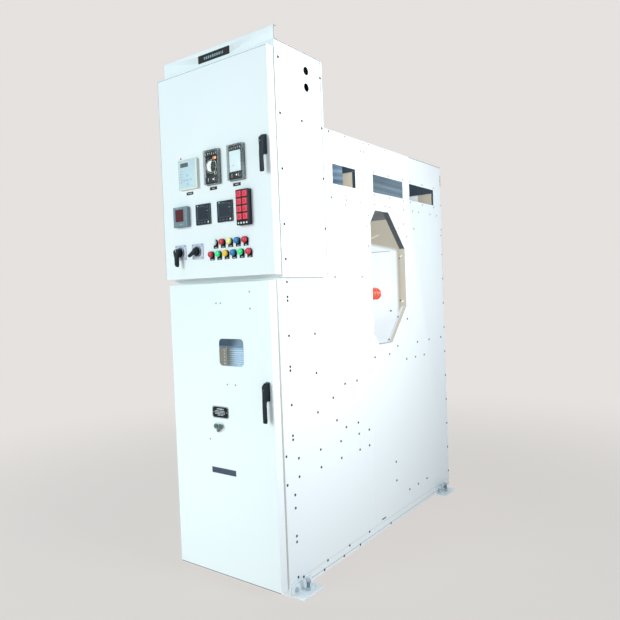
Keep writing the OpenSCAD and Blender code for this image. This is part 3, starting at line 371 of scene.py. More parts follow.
def coverFinish(name, left, right):  # the cover's ribbed part, with painted light: paler to the right, where daylight is painted on it
    f = Finish(name)
    drift = f.noise(30)
    skin = f.mix(f.step(f.along(0) + drift * 0.01, -0.215, -0.135), left, right)
    return f.shader(skin, drift * 0.1 + 0.4, f.bump(f.noise(300), 0.00006))


def paneFinish(name):  # clear, with a painted reflection of the room: dark over its top, pale over its right part
    f = Finish(name)
    low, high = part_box("window_pane")
    haze = f.noise(30)
    # slant and pale place the pale part of the painted reflection; top is the upper third, where the painted reflection
    # is dark and nearly opaque
    slant = f.along(0) - (f.along(2) - low.z) * 0.3 - low.x
    pale = f.step(slant + haze * 0.02, 0.055, 0.12)
    top = f.step(f.along(2) - low.z - (high.z - low.z) * 0.67, -0.004, 0.006)
    edge = 1 - f.step(high.z - f.along(2), 0.003, 0.014)
    tint = f.mix(pale * 0.55, tone(74, 92, 108), tone(160, 186, 204))
    tint = f.mix(edge * 0.8, tint, tone(30, 42, 52))
    return f.shader(f.mix(top, tone(178, 214, 240), tint), haze * 0.04 + 0.06, f.bump(haze, 0.00004, 0.2),
                    Alpha=top * 0.8 + pale * 0.14 + 0.02, Specular_IOR_Level=0.2)


palette = {  # two tones of each finish, then what differs from its maker's own values
    paintFinish: {
        "whitePaint": ((246, 249, 250), (239, 243, 245)), "whitePlate": ((244, 252, 255), (232, 244, 250), 0.35),
        "innerBeige": ((182, 178, 165), (168, 163, 149), 0.5), "innerSlate": ((70, 82, 100), (52, 62, 80), 0.45),
        "innerGrey": ((186, 188, 184), (170, 172, 168), 0.45), "innerPale": ((212, 219, 226), (202, 210, 218), 0.45),
        "innerCeiling": ((150, 158, 164), (134, 142, 148), 0.5), "innerShade": ((104, 106, 110), (90, 92, 96), 0.6),
        "innerDark": ((54, 68, 80), (42, 54, 66), 0.5), "innerWhite": ((224, 226, 224), (206, 208, 208), 0.45),
        "coverStrip": ((144, 143, 130), (132, 132, 120), 0.5), "flapSlate": ((62, 72, 92), (50, 60, 80), 0.5),
    },
    spangleFinish: {
        "galvanised": ((190, 197, 203), (150, 158, 166)), "collarShade": ((98, 108, 114), (82, 92, 100)),
    },
    metalFinish: {
        "zincPlate": ((196, 200, 206), (150, 156, 170), 0.28),
        "copperBar": ((214, 142, 104), (176, 98, 66), 0.3, 0.9, (1, 1, 0.1)),
        "lockMetal": ((112, 130, 124), (70, 90, 84), 0.4, 0.5),
        "glintMetal": ((206, 206, 198), (150, 150, 146), 0.22),
        "brightMetal": ((236, 236, 232), (206, 206, 204), 0.2, 0.7),
        "boltZinc": ((204, 216, 224), (142, 160, 174), 0.3, 0.5),
        "boltShade": ((104, 122, 140), (70, 88, 106), 0.36, 0.5),
        "boltPale": ((236, 240, 242), (206, 212, 216), 0.34, 0.2),
    },
    plasticFinish: {
        "redEpoxy": ((226, 84, 54), (196, 58, 38), 0.2, 300, 0.00006, 0.3),
        "brownEpoxy": ((128, 58, 44), (104, 42, 34), 0.25, 300, 0.00006, 0.2),
        "lampRed": ((216, 36, 56), (180, 20, 40), 0.34, 300, 0.00003, 0.08),
        "greenPlastic": ((28, 150, 80), (20, 120, 60), 0.18, 300, 0.00003, 0.4),
        "ceramic": ((238, 236, 226), (226, 222, 208), 0.12, 60, 0.00004, 0.5),
        "displayGlass": ((92, 116, 122), (74, 98, 106), 0.08, 200, 0.00001, 0.6),
        "slateGlass": ((26, 40, 54), (22, 34, 46), 0.24, 200, 0.00001, 0.1),
        "redGlass": ((84, 14, 32), (70, 8, 20), 0.16, 200, 0.00001, 0.5),
        "redWindow": ((254, 54, 84), (240, 38, 66), 0.45, 160, 0.00002),
        "handleBlack": ((20, 33, 40), (12, 22, 28), 0.42, 420, 0.00008),
        "rubber": ((34, 34, 35), (24, 24, 25), 0.7, 260, 0.0001),
        "sealBeige": ((222, 212, 190), (208, 198, 176), 0.6, 260, 0.0001),
        "blackPlastic": ((24, 28, 34), (16, 18, 24), 0.36), "tagBlack": ((12, 18, 20), (8, 12, 14), 0.34),
        "palePlastic": ((214, 218, 222), (198, 204, 210), 0.38), "rodGlass": ((216, 194, 118), (196, 170, 92), 0.34),
        "whitePlastic": ((238, 240, 240), (226, 230, 230), 0.34), "redCore": ((214, 24, 54), (196, 16, 42), 0.45),
        "creamPlastic": ((236, 238, 228), (224, 228, 214), 0.36), "relayFace": ((206, 222, 228), (196, 212, 220), 0.4),
        "keyPad": ((204, 226, 234), (192, 216, 228), 0.42), "keyBlue": ((180, 204, 220), (166, 192, 212), 0.4),
        "displayMark": ((60, 78, 84), (50, 66, 74), 0.3), "lampDim": ((120, 52, 56), (96, 40, 44), 0.2),
        "greyPrint": ((126, 138, 156), (108, 120, 138), 0.5), "whitePrint": ((230, 234, 238), (214, 220, 226), 0.5),
        "darkPrint": ((52, 56, 70), (40, 44, 56), 0.5), "greenPrint": ((40, 120, 72), (30, 100, 60), 0.5),
        "greyPlastic": ((116, 136, 144), (100, 120, 130), 0.42), "slatePlastic": ((20, 32, 44), (16, 26, 36), 0.42),
        "slateLine": ((62, 78, 96), (56, 70, 88), 0.4), "redBars": ((116, 20, 38), (100, 14, 28), 0.3),
        "tealKey": ((160, 226, 226), (140, 210, 212), 0.3), "paleKey": ((132, 160, 168), (120, 148, 156), 0.34),
        "mintKey": ((196, 232, 214), (180, 220, 200), 0.3), "lilacPlate": ((206, 208, 224), (192, 196, 212), 0.36),
        "dotYellow": ((216, 208, 176), (200, 190, 150), 0.4),
    },
    lensFinish: {
        "lampWhite": ((236, 246, 244), (226, 238, 236)), "lampYellow": ((254, 244, 162), (244, 230, 140)),
        "lampAmber": ((255, 206, 50), (246, 184, 36)), "lampBlue": ((4, 134, 192), (0, 112, 172)),
        "lampGreen": ((36, 246, 148), (26, 226, 128)),
    },
    clearFinish: {
        "clearPlastic": ((206, 222, 220), (225, 235, 238)),
        "clearCover": ((226, 238, 240), (225, 235, 238), 0.05, 0.015),
        "coverWall": ((150, 162, 160), (225, 235, 238), 0.12, 0.34),
    },
    streakFinish: {
        "streakBlue": ((134, 160, 188), (76, 98, 118), 0.2), "streakSlate": ((120, 140, 156), (76, 94, 110), 0.376),
    },
    screwFinish: {"screwDark": ((52, 54, 58), (176, 180, 184)), "screwRim": ((96, 100, 104), (214, 217, 219))},
    # ribShade: the backing between the ribs, darker as painted shade; both finishes carry the painted light, paler to
    # the right
    coverFinish: {"ribShade": ((104, 112, 108), (158, 194, 224)), "ribPale": ((134, 140, 132), (236, 246, 252))},
}
finishes = {name: make(name, tone(*first), tone(*second), *rest)
            for make, rows in palette.items() for name, (first, second, *rest) in rows.items()}
for name, make in (("wallSheet", wallFinish), ("collarFloor", collarFinish), ("paneGlass", paneFinish)):
    finishes[name] = make(name)

slotFinish = {
    "white_paint": "whitePaint", "galvanised": "galvanised", "zinc": "zincPlate", "copper": "copperBar",
    "epoxy": "redEpoxy", "black_plastic": "blackPlastic", "pale_plastic": "palePlastic", "rubber": "rubber",
    "clear_plastic": "clearPlastic", "ceramic": "ceramic", "lock_metal": "lockMetal",
    "rod_glassfibre": "rodGlass", "lamp_plastic": "lampRed", "button_green": "greenPlastic",
    "white_plastic": "whitePlastic",
}
slotOf = {part["node"]: part["material_slot"] for part in frame["record"]["subparts"]}
for name, obj in nodes.items():
    obj.data.materials.clear()
    obj.data.materials.append(finishes[slotFinish[slotOf[name]]])
print("finishes made")


# degrees: edges that stay sharp on dressed, made and grown pieces, edges to soften, and edges to fold or wear
sharp = {"dressed": 30, "made": 32, "grown": 40, "soft": 28, "worn": 50}
sheetFrom = 8  # millimetres: faces wider than this are sheet, and narrower ones its edge


def smoothed(mesh, angle):
    for face in mesh.polygons:
        face.use_smooth = True
    mesh.set_sharp_from_angle(angle=radians(angle))


def finished(obj, body, slot, *replaced):
    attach(obj, body)
    if replaced:
        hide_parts(*replaced)
    return obj


def copied(node):  # a node's mesh with its loose triangles joined
    shape = bmesh.new()
    shape.from_mesh(nodes[node].data)
    bmesh.ops.remove_doubles(shape, verts=shape.verts, dist=1e-5)
    return shape


def solids(shape):  # the groups of vertices that edges join
    left, groups = set(shape.verts), []
    while left:
        group, rest = [], [left.pop()]
        while rest:
            v = rest.pop()
            group.append(v)
            for line in v.link_edges:
                other = line.other_vert(v)
                if other in left:
                    left.remove(other)
                    rest.append(other)
        groups.append(group)
    return groups


def spans(node):  # low and high corner of each solid of a node
    shape = copied(node)
    made = [tuple(Vector([pick(v.co[k] for v in group) for k in range(3)]) for pick in (min, max))
            for group in solids(shape)]
    shape.free()
    return sorted(made, key=lambda span: tuple(span[0]))


def thickness(face):
    return face.calc_area() / max(edge.calc_length() for edge in face.edges)


def dressed(node, finish, fold=2.2, edge=0.0, least=60):  # wide sheets get folds, all others worn edges
    shape = copied(node)
    bmesh.ops.dissolve_limit(shape, angle_limit=radians(1), verts=shape.verts, edges=shape.edges)
    folds, rims = [], []
    for line in shape.edges:
        if len(line.link_faces) == 2 and line.calc_face_angle_signed(0) > radians(sharp["worn"]) \
                and line.calc_length() > least * mm:
            wide = min(thickness(face) for face in line.link_faces)
            (folds if wide > sheetFrom * mm else rims).append(line)
    if folds and fold:
        bmesh.ops.bevel(shape, geom=folds, offset=fold * mm, segments=3, profile=0.5, affect="EDGES")
    elif rims and edge:
        bmesh.ops.bevel(shape, geom=rims, offset=edge * mm, segments=1, profile=0.5, affect="EDGES")
    mesh = bpy.data.meshes.new(node + ".dressed")
    shape.to_mesh(mesh)
    shape.free()
    smoothed(mesh, sharp["dressed"])
    mesh.materials.clear()
    mesh.materials.append(finishes[finish])
    return finished(added(node + ".dressed", mesh), bodyOf[node], slotOf[node], node)


def tinted(obj, finish, chosen):  # another finish for the faces that a test of normal and middle picks
    obj.data.materials.append(finishes[finish])
    for face in obj.data.polygons:
        if chosen(face.normal, face.center):
            face.material_index = len(obj.data.materials) - 1


dressing = (  # nodes, finish, fold, worn edge and least length of an edge in millimetres
    ("lv_door lv_chamber door_frame base_frame breaker_door", "whitePaint"),
    ("lv_upstand", "whitePaint", 1.0),
    ("side_sheets_front side_sheets_rear foot_brackets roof_sheet", "whitePaint", 0, 0.9),
    ("relief_flap_front relief_flap_middle relief_flap_rear", "whitePaint", 0, 0.9),
    ("lv_mounting_plate", "galvanised", 0, 0.5, 8), ("din_rail_devices", "palePlastic", 0, 0.7, 8),
    ("spouts", "brownEpoxy", 0, 1.5, 8), ("fixed_contacts", "copperBar", 0, 0.6, 8),
    ("branch_bars", "copperBar", 0, 0.8, 8), ("current_transformers", "brownEpoxy", 0, 2.0, 8),
    ("cable_bars", "copperBar", 0, 0.8, 8), ("gland_plate", "galvanised", 0, 0.5, 8),
    ("earth_bar", "copperBar", 0, 0.6, 8), ("breaker_rails shutters truck_chassis", "galvanised", 0, 0.5, 8),
    ("mechanism_box", "galvanised", 0, 1.2, 8), ("contact_arms", "copperBar", 0, 0.6, 8),
    ("front_wheels rear_wheels", "zincPlate", 0, 0.6, 8), ("push_rods", "rodGlass", 0, 0.5, 8),
    ("vacuum_interrupters", "ceramic", 0, 0.8, 8), ("pole_housings", "redEpoxy", 0, 1.5, 8),
    ("close_button", "greenPlastic", 0, 0.5, 8), ("lv_door_seal breaker_door_seal", "sealBeige", 0, 0.8, 8),
    ("compartment_sheets", "innerBeige", 0, 0.6), ("rear_covers", "whitePaint", 0, 0.6),
    ("busbar_opening_collars", "galvanised", 0),
)
tints = {  # finish and test, by a face's normal n and its middle c
    "breaker_door": (("tagBlack", lambda n, c: c.y < -0.9041),),
    "lv_upstand": (("tagBlack", lambda n, c: c.y < -0.8471), ("innerShade", lambda n, c: n.x > 0.9 and c.x > 0.345)),
    # the rear wall's faces get the painted pale patch and glint
    "compartment_sheets": (("wallSheet", lambda n, c: n.y < -0.9 and abs(c.y - 0.391) < mm),
                           ("innerPale", lambda n, c: 0.323 < c.y < 0.3905 and abs(c.z - 1.325) < 0.02),
                           # ceiling faces looking down get a darker grey: painted shade
                           ("innerCeiling", lambda n, c: n.z < -0.9 and abs(c.z - 1.819) < 0.004)),
    # painted light and shade on the collars by which way a face looks: dark on faces looking down, beige on faces
    # looking to the front, and the beige and pale collar floor on faces looking up
    "busbar_opening_collars": (("collarShade", lambda n, c: n.z < -0.3 and c.z > 1.2),
                               ("innerBeige", lambda n, c: n.y < -0.9),
                               ("collarFloor", lambda n, c: n.z > 0.3 and c.z < 1.6)),
}


def dressNodes():
    for members, *values in dressing:
        for node in members.split():
            made = dressed(node, *values)
            for finish, chosen in tints.get(node, ()):
                tinted(made, finish, chosen)
            if node in ("compartment_sheets", "busbar_opening_collars"):
                litGroups["busbarRoom"].objects.link(made)


dressNodes()
print("sheets dressed")


def around(x, z, radius, angle):  # a point on a circle
    return x + radius * cos(radians(angle)), z + radius * sin(radians(angle))


def ring(x, z, radius, steps, start=0, sweep=360):
    return [around(x, z, radius, start + sweep * k / steps) for k in range(steps + (sweep != 360))]


def roundRect(x, z, wide, high, radius, steps=4):
    return [around(x + cx * (wide / 2 - radius), z + cz * (high / 2 - radius), radius, start + 90 * k / steps)
            for cx, cz, start in ((1, 1, 0), (-1, 1, 90), (-1, -1, 180), (1, -1, 270)) for k in range(steps + 1)]


class Piece:  # sizes in millimetres, Y counted from the piece's own face
    def __init__(self, name, face=0):
        self.name, self.face, self.shape, self.finishes = name, face, bmesh.new(), []

    def paint(self, faces, finish):
        bmesh.ops.recalc_face_normals(self.shape, faces=faces)
        if finish not in self.finishes:
            self.finishes.append(finish)
        for face in faces:
            face.material_index = self.finishes.index(finish)

    def loop(self, outline, depth, axis):
        points = {"y": ((a, depth, b) for a, b in outline), "x": ((depth, a, b) for a, b in outline),
                  "z": ((a, b, depth) for a, b in outline)}[axis]
        return [self.shape.verts.new(Vector((x, y + self.face, z)) * mm) for x, y, z in points]

    def soften(self, lines, soft):
        lines = [line for line in lines if line.is_valid and line.calc_face_angle(0) > radians(sharp["soft"])]
        if lines:
            bmesh.ops.bevel(self.shape, geom=lines, offset=soft * mm, segments=2, profile=0.5, affect="EDGES")

    def prism(self, outline, d0, d1, finish, soft=0.0, axis="y", back=False):
        first, last = (self.loop(outline, depth, axis) for depth in (d0, d1))
        new = self.shape.faces.new
        caps = [new(first), new(last[::-1])]
        sides = [new((first[k], last[k], last[k - 1], first[k - 1])) for k in range(len(outline))]
        self.paint(caps + sides, finish)
        if soft:
            lines = list(caps[0].edges) + [line for face in sides for line in face.edges
                                           if line not in caps[1].edges[:] and line not in caps[0].edges[:]]
            self.soften(set(lines) | (set(caps[1].edges) if back else set()), soft)

    def slab(self, rect, d0, d1, finish, soft=0.0):
        self.prism(roundRect(*rect), d0, d1, finish, soft)

    def box(self, xs, ys, zs, finish, soft=0.0):
        self.prism([(xs[0], zs[0]), (xs[1], zs[0]), (xs[1], zs[1]), (xs[0], zs[1])], *ys, finish, soft, "y", True)

    def block(self, at, wide, high, d0, d1, finish, soft=0.0):  # a box by its middle
        self.box((at[0] - wide / 2, at[0] + wide / 2), (d0, d1), (at[1] - high / 2, at[1] + high / 2), finish, soft)

    def frame(self, outer, inner, d0, d1, finish, soft=0.0, axis="y"):
        rings = [self.loop(outline, depth, axis) for outline, depth in
                 ((outer, d0), (outer, d1), (inner, d1), (inner, d0))]
        made = []
        for k in range(4):
            one, two = rings[k], rings[(k + 1) % 4]
            made += [self.shape.faces.new((one[n], two[n], two[n - 1], one[n - 1])) for n in range(len(outer))]
        self.paint(made, finish)
        if soft:
            fronts = {line for line in self.shape.edges if set(line.verts) <= set(rings[0])
                      or set(line.verts) <= set(rings[3])}
            self.soften(fronts, soft)

    def rim(self, rect, inner, d0, d1, finish, soft=0.0):
        self.frame(roundRect(*rect), roundRect(*inner), d0, d1, finish, soft)

    def hoop(self, at, outer, inner, d0, d1, finish, soft=0.0, steps=40, axis="y"):
        self.frame(ring(*at, outer, steps), ring(*at, inner, steps), d0, d1, finish, soft, axis)

    def turned(self, profile, at, finish, steps=32, axis="y"):
        loops = [self.loop([at] if radius < 1e-6 else ring(*at, radius, steps), depth, axis)
                 for radius, depth in profile]
        made, new = [], self.shape.faces.new
        for one, two in zip(loops, loops[1:]):
            for k in range(steps):  # a loop of a single point gives triangles
                four = [loop[n % len(loop)] for loop, n in ((one, k - 1), (one, k), (two, k), (two, k - 1))]
                made.append(new(list(dict.fromkeys(four))))
        made += [new(loop) for loop in (loops[0], loops[-1]) if len(loop) > 1]
        self.paint(made, finish)

    def rod(self, at, radius, d0, d1, finish, steps, axis="y"):
        self.turned([(0, d0), (radius, d0), (radius, d1), (0, d1)], at, finish, steps, axis)

    def dashes(self, at, depth, lengths, finish, high=1.6, gap=2.0):
        x = at[0] - (sum(lengths) + gap * (len(lengths) - 1)) / 2
        for length in lengths:
            self.box((x, x + length), (depth - 0.25, depth + 0.2), (at[1] - high / 2, at[1] + high / 2), finish)
            x += length + gap

    def done(self, body, slot, *replaced):
        mesh = bpy.data.meshes.new(self.name)
        self.shape.to_mesh(mesh)
        self.shape.free()
        for finish in self.finishes:
            mesh.materials.append(finishes[finish])
        smoothed(mesh, sharp["made"])
        return finished(added(self.name, mesh), body, slot, *replaced)


lvFace, bkFace = -897, -904  # the two doors' outer faces

# the instruments' places on the door, x and z
relayPlaces = {"numerical": (-150, 1930), "disc": (9, 1941), "plate": (157, 1941)}


numerical = {
    "size": (126, 142), "proud": 14, "deep": 128,
    "display": (-22, 46, 54, 20), "keys": (-8, -16, 98, 98), "lampAt": (-206, 2012),
}


def makeNumericalRelay():
    back, deep = numerical["proud"], numerical["deep"]
    p = Piece("numericalRelay", lvFace - back)
    (x, z), (wide, high) = relayPlaces["numerical"], numerical["size"]
    p.slab((x, z, wide, high, 5), 4, back, "creamPlastic", 1.0)
    p.rim((x, z, wide, high, 5), (x - 4, z + 3, wide - 12, high - 10, 3), 0, 6, "creamPlastic", 1.2)
    p.slab((x - 4, z + 3, wide - 12.5, high - 10.5, 3), 1.4, 5, "relayFace", 0.4)
    dx, dz, dw, dh = numerical["display"]
    dx, dz = x + dx, z + dz
    p.rim((dx, dz, dw + 6, dh + 6, 3), (dx, dz, dw, dh, 1.5), 0.6, 3, "palePlastic", 0.5)
    p.slab((dx, dz, dw, dh, 1.5), 1.2, 4, "displayGlass")
    for row in range(2):
        p.dashes((dx, dz + 4 - row * 8), 1.2, (4, 7, 3, 9, 5), "displayMark", 2.0, 2.2)
    kx, kz, kw, kh = numerical["keys"]
    kx, kz = x + kx, z + kz
    p.slab((kx, kz, kw, kh, 4), 0.9, 3, "keyPad", 0.4)
    for across, down in ((-1, 1), (0, 0), (0, 1), (0, 2), (1, 1)):
        p.slab((kx + across * 22 + 6, kz + 10 - down * 20, 15, 12, 3), -0.3, 2, "keyBlue", 0.6)
    for k in range(5):
        level = kz + 34 - k * 13
        p.turned([(1.9, 1), (1.9, 0.2), (0, -0.2)], (kx - 38, level), "lampDim" if k else "lampRed", 14)
        p.dashes((kx - 28, level), 0.9, (7,), "greyPrint", 1.2)
    for sx, sz in corners:
        p.turned([(2.4, 1), (2.4, -0.4), (0, -0.6)], (x + sx * 59, z + sz * 67), "zincPlate", 12)
    p.block((x, z), 110, 124, back - 1, back + deep, "blackPlastic", 1.5)
    for k in range(4):
        p.block((x, z - 47 + k * 30), 96, 10, back + deep, back + deep + 1, "greenPlastic", 0.3)
    p.turned([(4.4, back + 0.5), (4.4, back - 1.2), (3.2, back - 1.6), (2.9, back - 3), (0, back - 4.4)],
             numerical["lampAt"], "lampRed", 20)
    p.done("lv_door", "pale_plastic", "numerical_relay")


flush = {
    "size": (92, 158), "proud": 20, "deep": 150, "disc": 25,
    "pins": (8, 9, 60), "plateScrews": ((-29, 52), (27, 52), (-29, -36), (27, -36)),
}


def relayBlock(p, x, z, wide, high, front, ribs):
    p.slab((x, z, wide, high, 3), front, -3, "blackPlastic", 1.4)
    for k in range(ribs):
        p.block((x - wide / 2 + (k + 0.5) * wide / ribs, z), 1.6, high * 0.6, front - 0.8, front + 1, "glintMetal", 0.3)


def relayKnob(p, x, z):
    front = 4 - flush["proud"]
    p.turned([(6.5, front + 5), (6.5, front), (5.2, front - 1.6), (0, front - 1.8)], (x, z), "blackPlastic", 12)
    p.turned([(5.2, front - 1.4), (2.6, front - 2.6), (0, front - 2.6)], (x, z), "glintMetal", 16)


def makeFlushRelays():
    p, c = Piece("flushRelays", lvFace), Piece("relayCovers", lvFace)
    (wide, high), front, deep = flush["size"], -flush["proud"], flush["deep"]
    for kind in ("disc", "plate"):
        x, z = relayPlaces[kind]
        p.slab((x, z, wide - 8, high - 8, 3), -4, 0, "blackPlastic", 0.8)
        relayBlock(p, x, z + high / 2 - 18, wide - 16, 22, front + 5, 6)
        relayBlock(p, x, z - high / 2 + 21, wide - 14, 30, front + 4, 2)
        p.block((x, z), 80, 146, -0.5, deep, "blackPlastic", 1.5)
        count, across, apart = flush["pins"]  # two rows at the rear
        for k in range(2 * count):
            at = (x + (k % count - (count - 1) / 2) * across, z + (k // count - 0.5) * apart)
            p.turned([(3.4, deep - 1), (3.4, deep + 2), (0, deep + 2.5)], at, "zincPlate", 10)
        rect = (x, z, wide, high, 5)
        c.rim(rect, (x, z, wide - 3.6, high - 3.6, 3.4), front + 1, 0, "coverWall")
        c.slab(rect, front, front + 1.8, "clearCover", 1.2)
        c.rim((x, z, wide + 2, high + 2, 5), rect, -3, 0, "blackPlastic", 0.5)
    x, z = relayPlaces["disc"]
    radius, hub = flush["disc"], (x - 4, z + 4)
    p.rod(hub, radius, -13.2, -12, "brightMetal", 40)
    p.prism([hub] + ring(*hub, radius - 1, 18, -82, 150), -15.6, -13, "blackPlastic", 0.5)
    p.hoop(hub, 33, 30.5, -11, -5, "glintMetal", 0.5)
    p.turned([(5, -13), (5, -16.5), (2.5, -17.5), (0, -17.5)], hub, "glintMetal", 18)
    for k in range(11):
        p.turned([(0.9, -12), (0.9, -13.4), (0, -13.6)], around(*hub, 28, -62 - k * 14), "whitePrint", 6)
    p.box((x - 30, x - 12), (-14, -4), (z + 33, z + 46), "blackPlastic", 1.2)
    p.box((x + 8, x + 34), (-15, -4), (z + 30, z + 47), "copperBar", 2)
    p.hoop((x + 26, z - 30), 8, 5.5, -15, -5, "glintMetal", 0.5, 20)
    relayKnob(p, x + 12, z - 58)
    x, z = relayPlaces["plate"]
    p.slab((x - 1, z + 8, 68, 100, 3), -14, -10, "whitePlate", 0.8)
    p.turned([(2.2, -13.5), (2.2, -14.4), (0, -14.5)], (x - 12, z - 14), "blackPlastic", 14)
    for dx, dz in flush["plateScrews"]:
        p.turned([(1.8, -13.5), (1.6, -14.7), (0, -14.8)], (x + dx, z + dz), "glintMetal", 12)
    relayKnob(p, x + 8, z - 58)
    p.done("lv_door", "black_plastic", "flush_relays")
    c.done("lv_door", "clear_plastic", "relay_covers")


meters = {
    "side": 96, "first": (-207, 1734), "step": 140, "proud": (20, 6, 6), "deep": 77,
    "redMarks": ((-22, 42, 0, (3, 8, 4), "whitePrint"), (36, 14, 0, (4,), "whitePrint", 1.4),
                 (36, -6, 0, (4,), "whitePrint", 1.4)),
    "slateMarks": ((-6, 40, 0, (5, 3, 7, 4), "greyPrint", 1.2, 1.8), (30, 30, 1.3, (4,), "greyPrint", 1.4),
                   (29, 16, 1.3, (3, 2), "whitePrint", 1.8, 1), (30, -2, 1.3, (4,), "greyPrint", 1.4)),
}


def digit(p, x, z, depth, high, finish):  # seven bars of a plain figure
    wide, thick = high * 0.5, high * 0.1
    for level in (1, 0, -1):
        p.block((x, z + level * high / 2), wide, thick, depth - 0.15, depth + 0.2, finish)
    for a in (-1, 1):
        for b in (-1, 1):
            p.block((x + a * wide / 2, z + b * high / 4), thick, high * 0.34, depth - 0.15, depth + 0.2, finish)


def makeMeters():
    p = Piece("panelMeters")
    for k, back in enumerate(meters["proud"]):
        p.face = lvFace - back
        x, z = meters["first"][0] + k * meters["step"], meters["first"][1]
        case = (x, z, meters["side"], meters["side"], 3)
        shell, glass = ("slatePlastic", "slateGlass") if k else ("greyPlastic", "redGlass")
        wx, wz, ww, wh = (x, z + 5, 74, 62) if k else (x - 6, z + 7, 56, 58)
        p.slab(case, 2.5, back, shell, 0.6)
        p.rim(case, (wx, wz, ww, wh, 2), 0, 4, shell, 1.0)
        p.slab((wx, wz, ww - 0.2, wh - 0.2, 1.5), 1.3, 3.6, glass)
        if k == 0:
            for n in range(12):
                digit(p, x - 24 + n % 4 * 12, z + 25 - n // 4 * 18, 1.3, 12, "redBars")
            for n in range(4):
                p.turned([(3.6, 1), (3.6, -0.5), (2.8, -1), (0, -1)], (x - 30 + n * 17, z - 36),
                         "tealKey" if n == 2 else "paleKey", 18)
        else:
            p.rim((wx, wz, 66, 54, 2), (wx, wz, 64.6, 52.6, 1.6), 1.1, 2, "slateLine")
            p.block((x - 33, z + 40.5), 6, 4, -0.25, 0.3, "whitePrint")
            for n, sign in enumerate(((3, 3), (6,), (2, 4))):
                kx, kz = x - 30 + n * 21, z - 38
                p.rim((kx, kz, 13, 8, 3), (kx, kz, 11.6, 6.6, 2.4), -0.3, 0.3, "greyPrint")
                p.dashes((kx, kz), 0, sign, "greyPrint", 1.2, 1)
            p.turned([(4.6, 0.5), (4.6, -0.6), (3.8, -1.2), (0, -1.3)], (x + 34, z - 37), "whitePlastic", 22)
        for dx, dz, depth, *dashes in meters["slateMarks" if k else "redMarks"]:
            p.dashes((x + dx, z + dz), depth, *dashes)
        p.block((x, z), 90, 90, back - 0.5, back + meters["deep"], "blackPlastic", 1.5)
        rear = back + meters["deep"]
        for n in range(6):
            p.turned([(3.2, rear - 1), (3.2, rear + 2), (0, rear + 2.4)], (x - 30 + n * 12, z - 20), "zincPlate", 10)
    p.done("lv_door", "black_plastic", "panel_meters")


alarms = {"at": (195, 1738), "size": (74, 156), "proud": 22, "deep": 109, "cap": 3, "window": 29, "pitch": 33}


def makeAnnunciator():
    (x, z), (wide, high), back, deep, cap, side, pitch = alarms.values()
    p = Piece("annunciator", lvFace - back)
    p.slab((x, z, wide, high, 3), 0, back, "blackPlastic", 1.2)
    for column in (-0.5, 0.5):
        for row in range(4):
            wx, wz = x + column * pitch, z + high / 2 - 20 - row * pitch
            p.slab((wx, wz, side, side, 2), 0.2 - cap, 2, "redWindow", 1.6)
            p.slab((wx, wz, side * 0.45, side * 0.45, 2.5), -cap, 1 - cap, "redCore", 0.3)
    keys = [(x - 24 + 16 * k, z - high / 2 + 9) for k in range(4)]
    for at in keys:
        p.rim((*at, 12, 12, 2), (*at, 9, 9, 1.4), -0.8, 1, "blackPlastic", 0.4)
    p.block((x, z), 66, 148, back - 0.5, back + deep, "blackPlastic", 1.5)
    p.done("lv_door", "black_plastic", "annunciator")
    for k, at in enumerate(keys):
        node = "annunciator_button_%d" % (k + 1)
        b = Piece("annunciatorKey%d" % (k + 1), lvFace)
        b.slab((*at, 8, 8, 1.2), -24.5, -17.5, "whitePlastic" if k else "mintKey", 0.8)
        b.done(node, "white_plastic", node)


switches = {
    "plate": 74, "marksAt": 31, "leverTurn": 30,
    "control": {"at": (-233, 1566), "marks": (50, 90, 130)},
    "selector": {"at": (-116, 1564), "marks": (90, 135, 45, 200)},
    "grip": ((-18, 5), (-13, 11), (-6, 15.6), (5, 16), (13, 11), (16.8, 2), (15.5, -7), (10, -15), (7.6, -26),
             (7, -50), (6.4, -64), (3.6, -69), (-4, -69), (-6.6, -64), (-8.4, -48), (-10.6, -28), (-14.5, -11)),
    "lever": ((-43, -4.2), (-40, -6.4), (-24, -6.8), (0, -9.5), (9, -6), (10, 0), (9, 6), (0, 9.5), (-24, 6.8),
              (-40, 6.4), (-43, 4.2)),
}


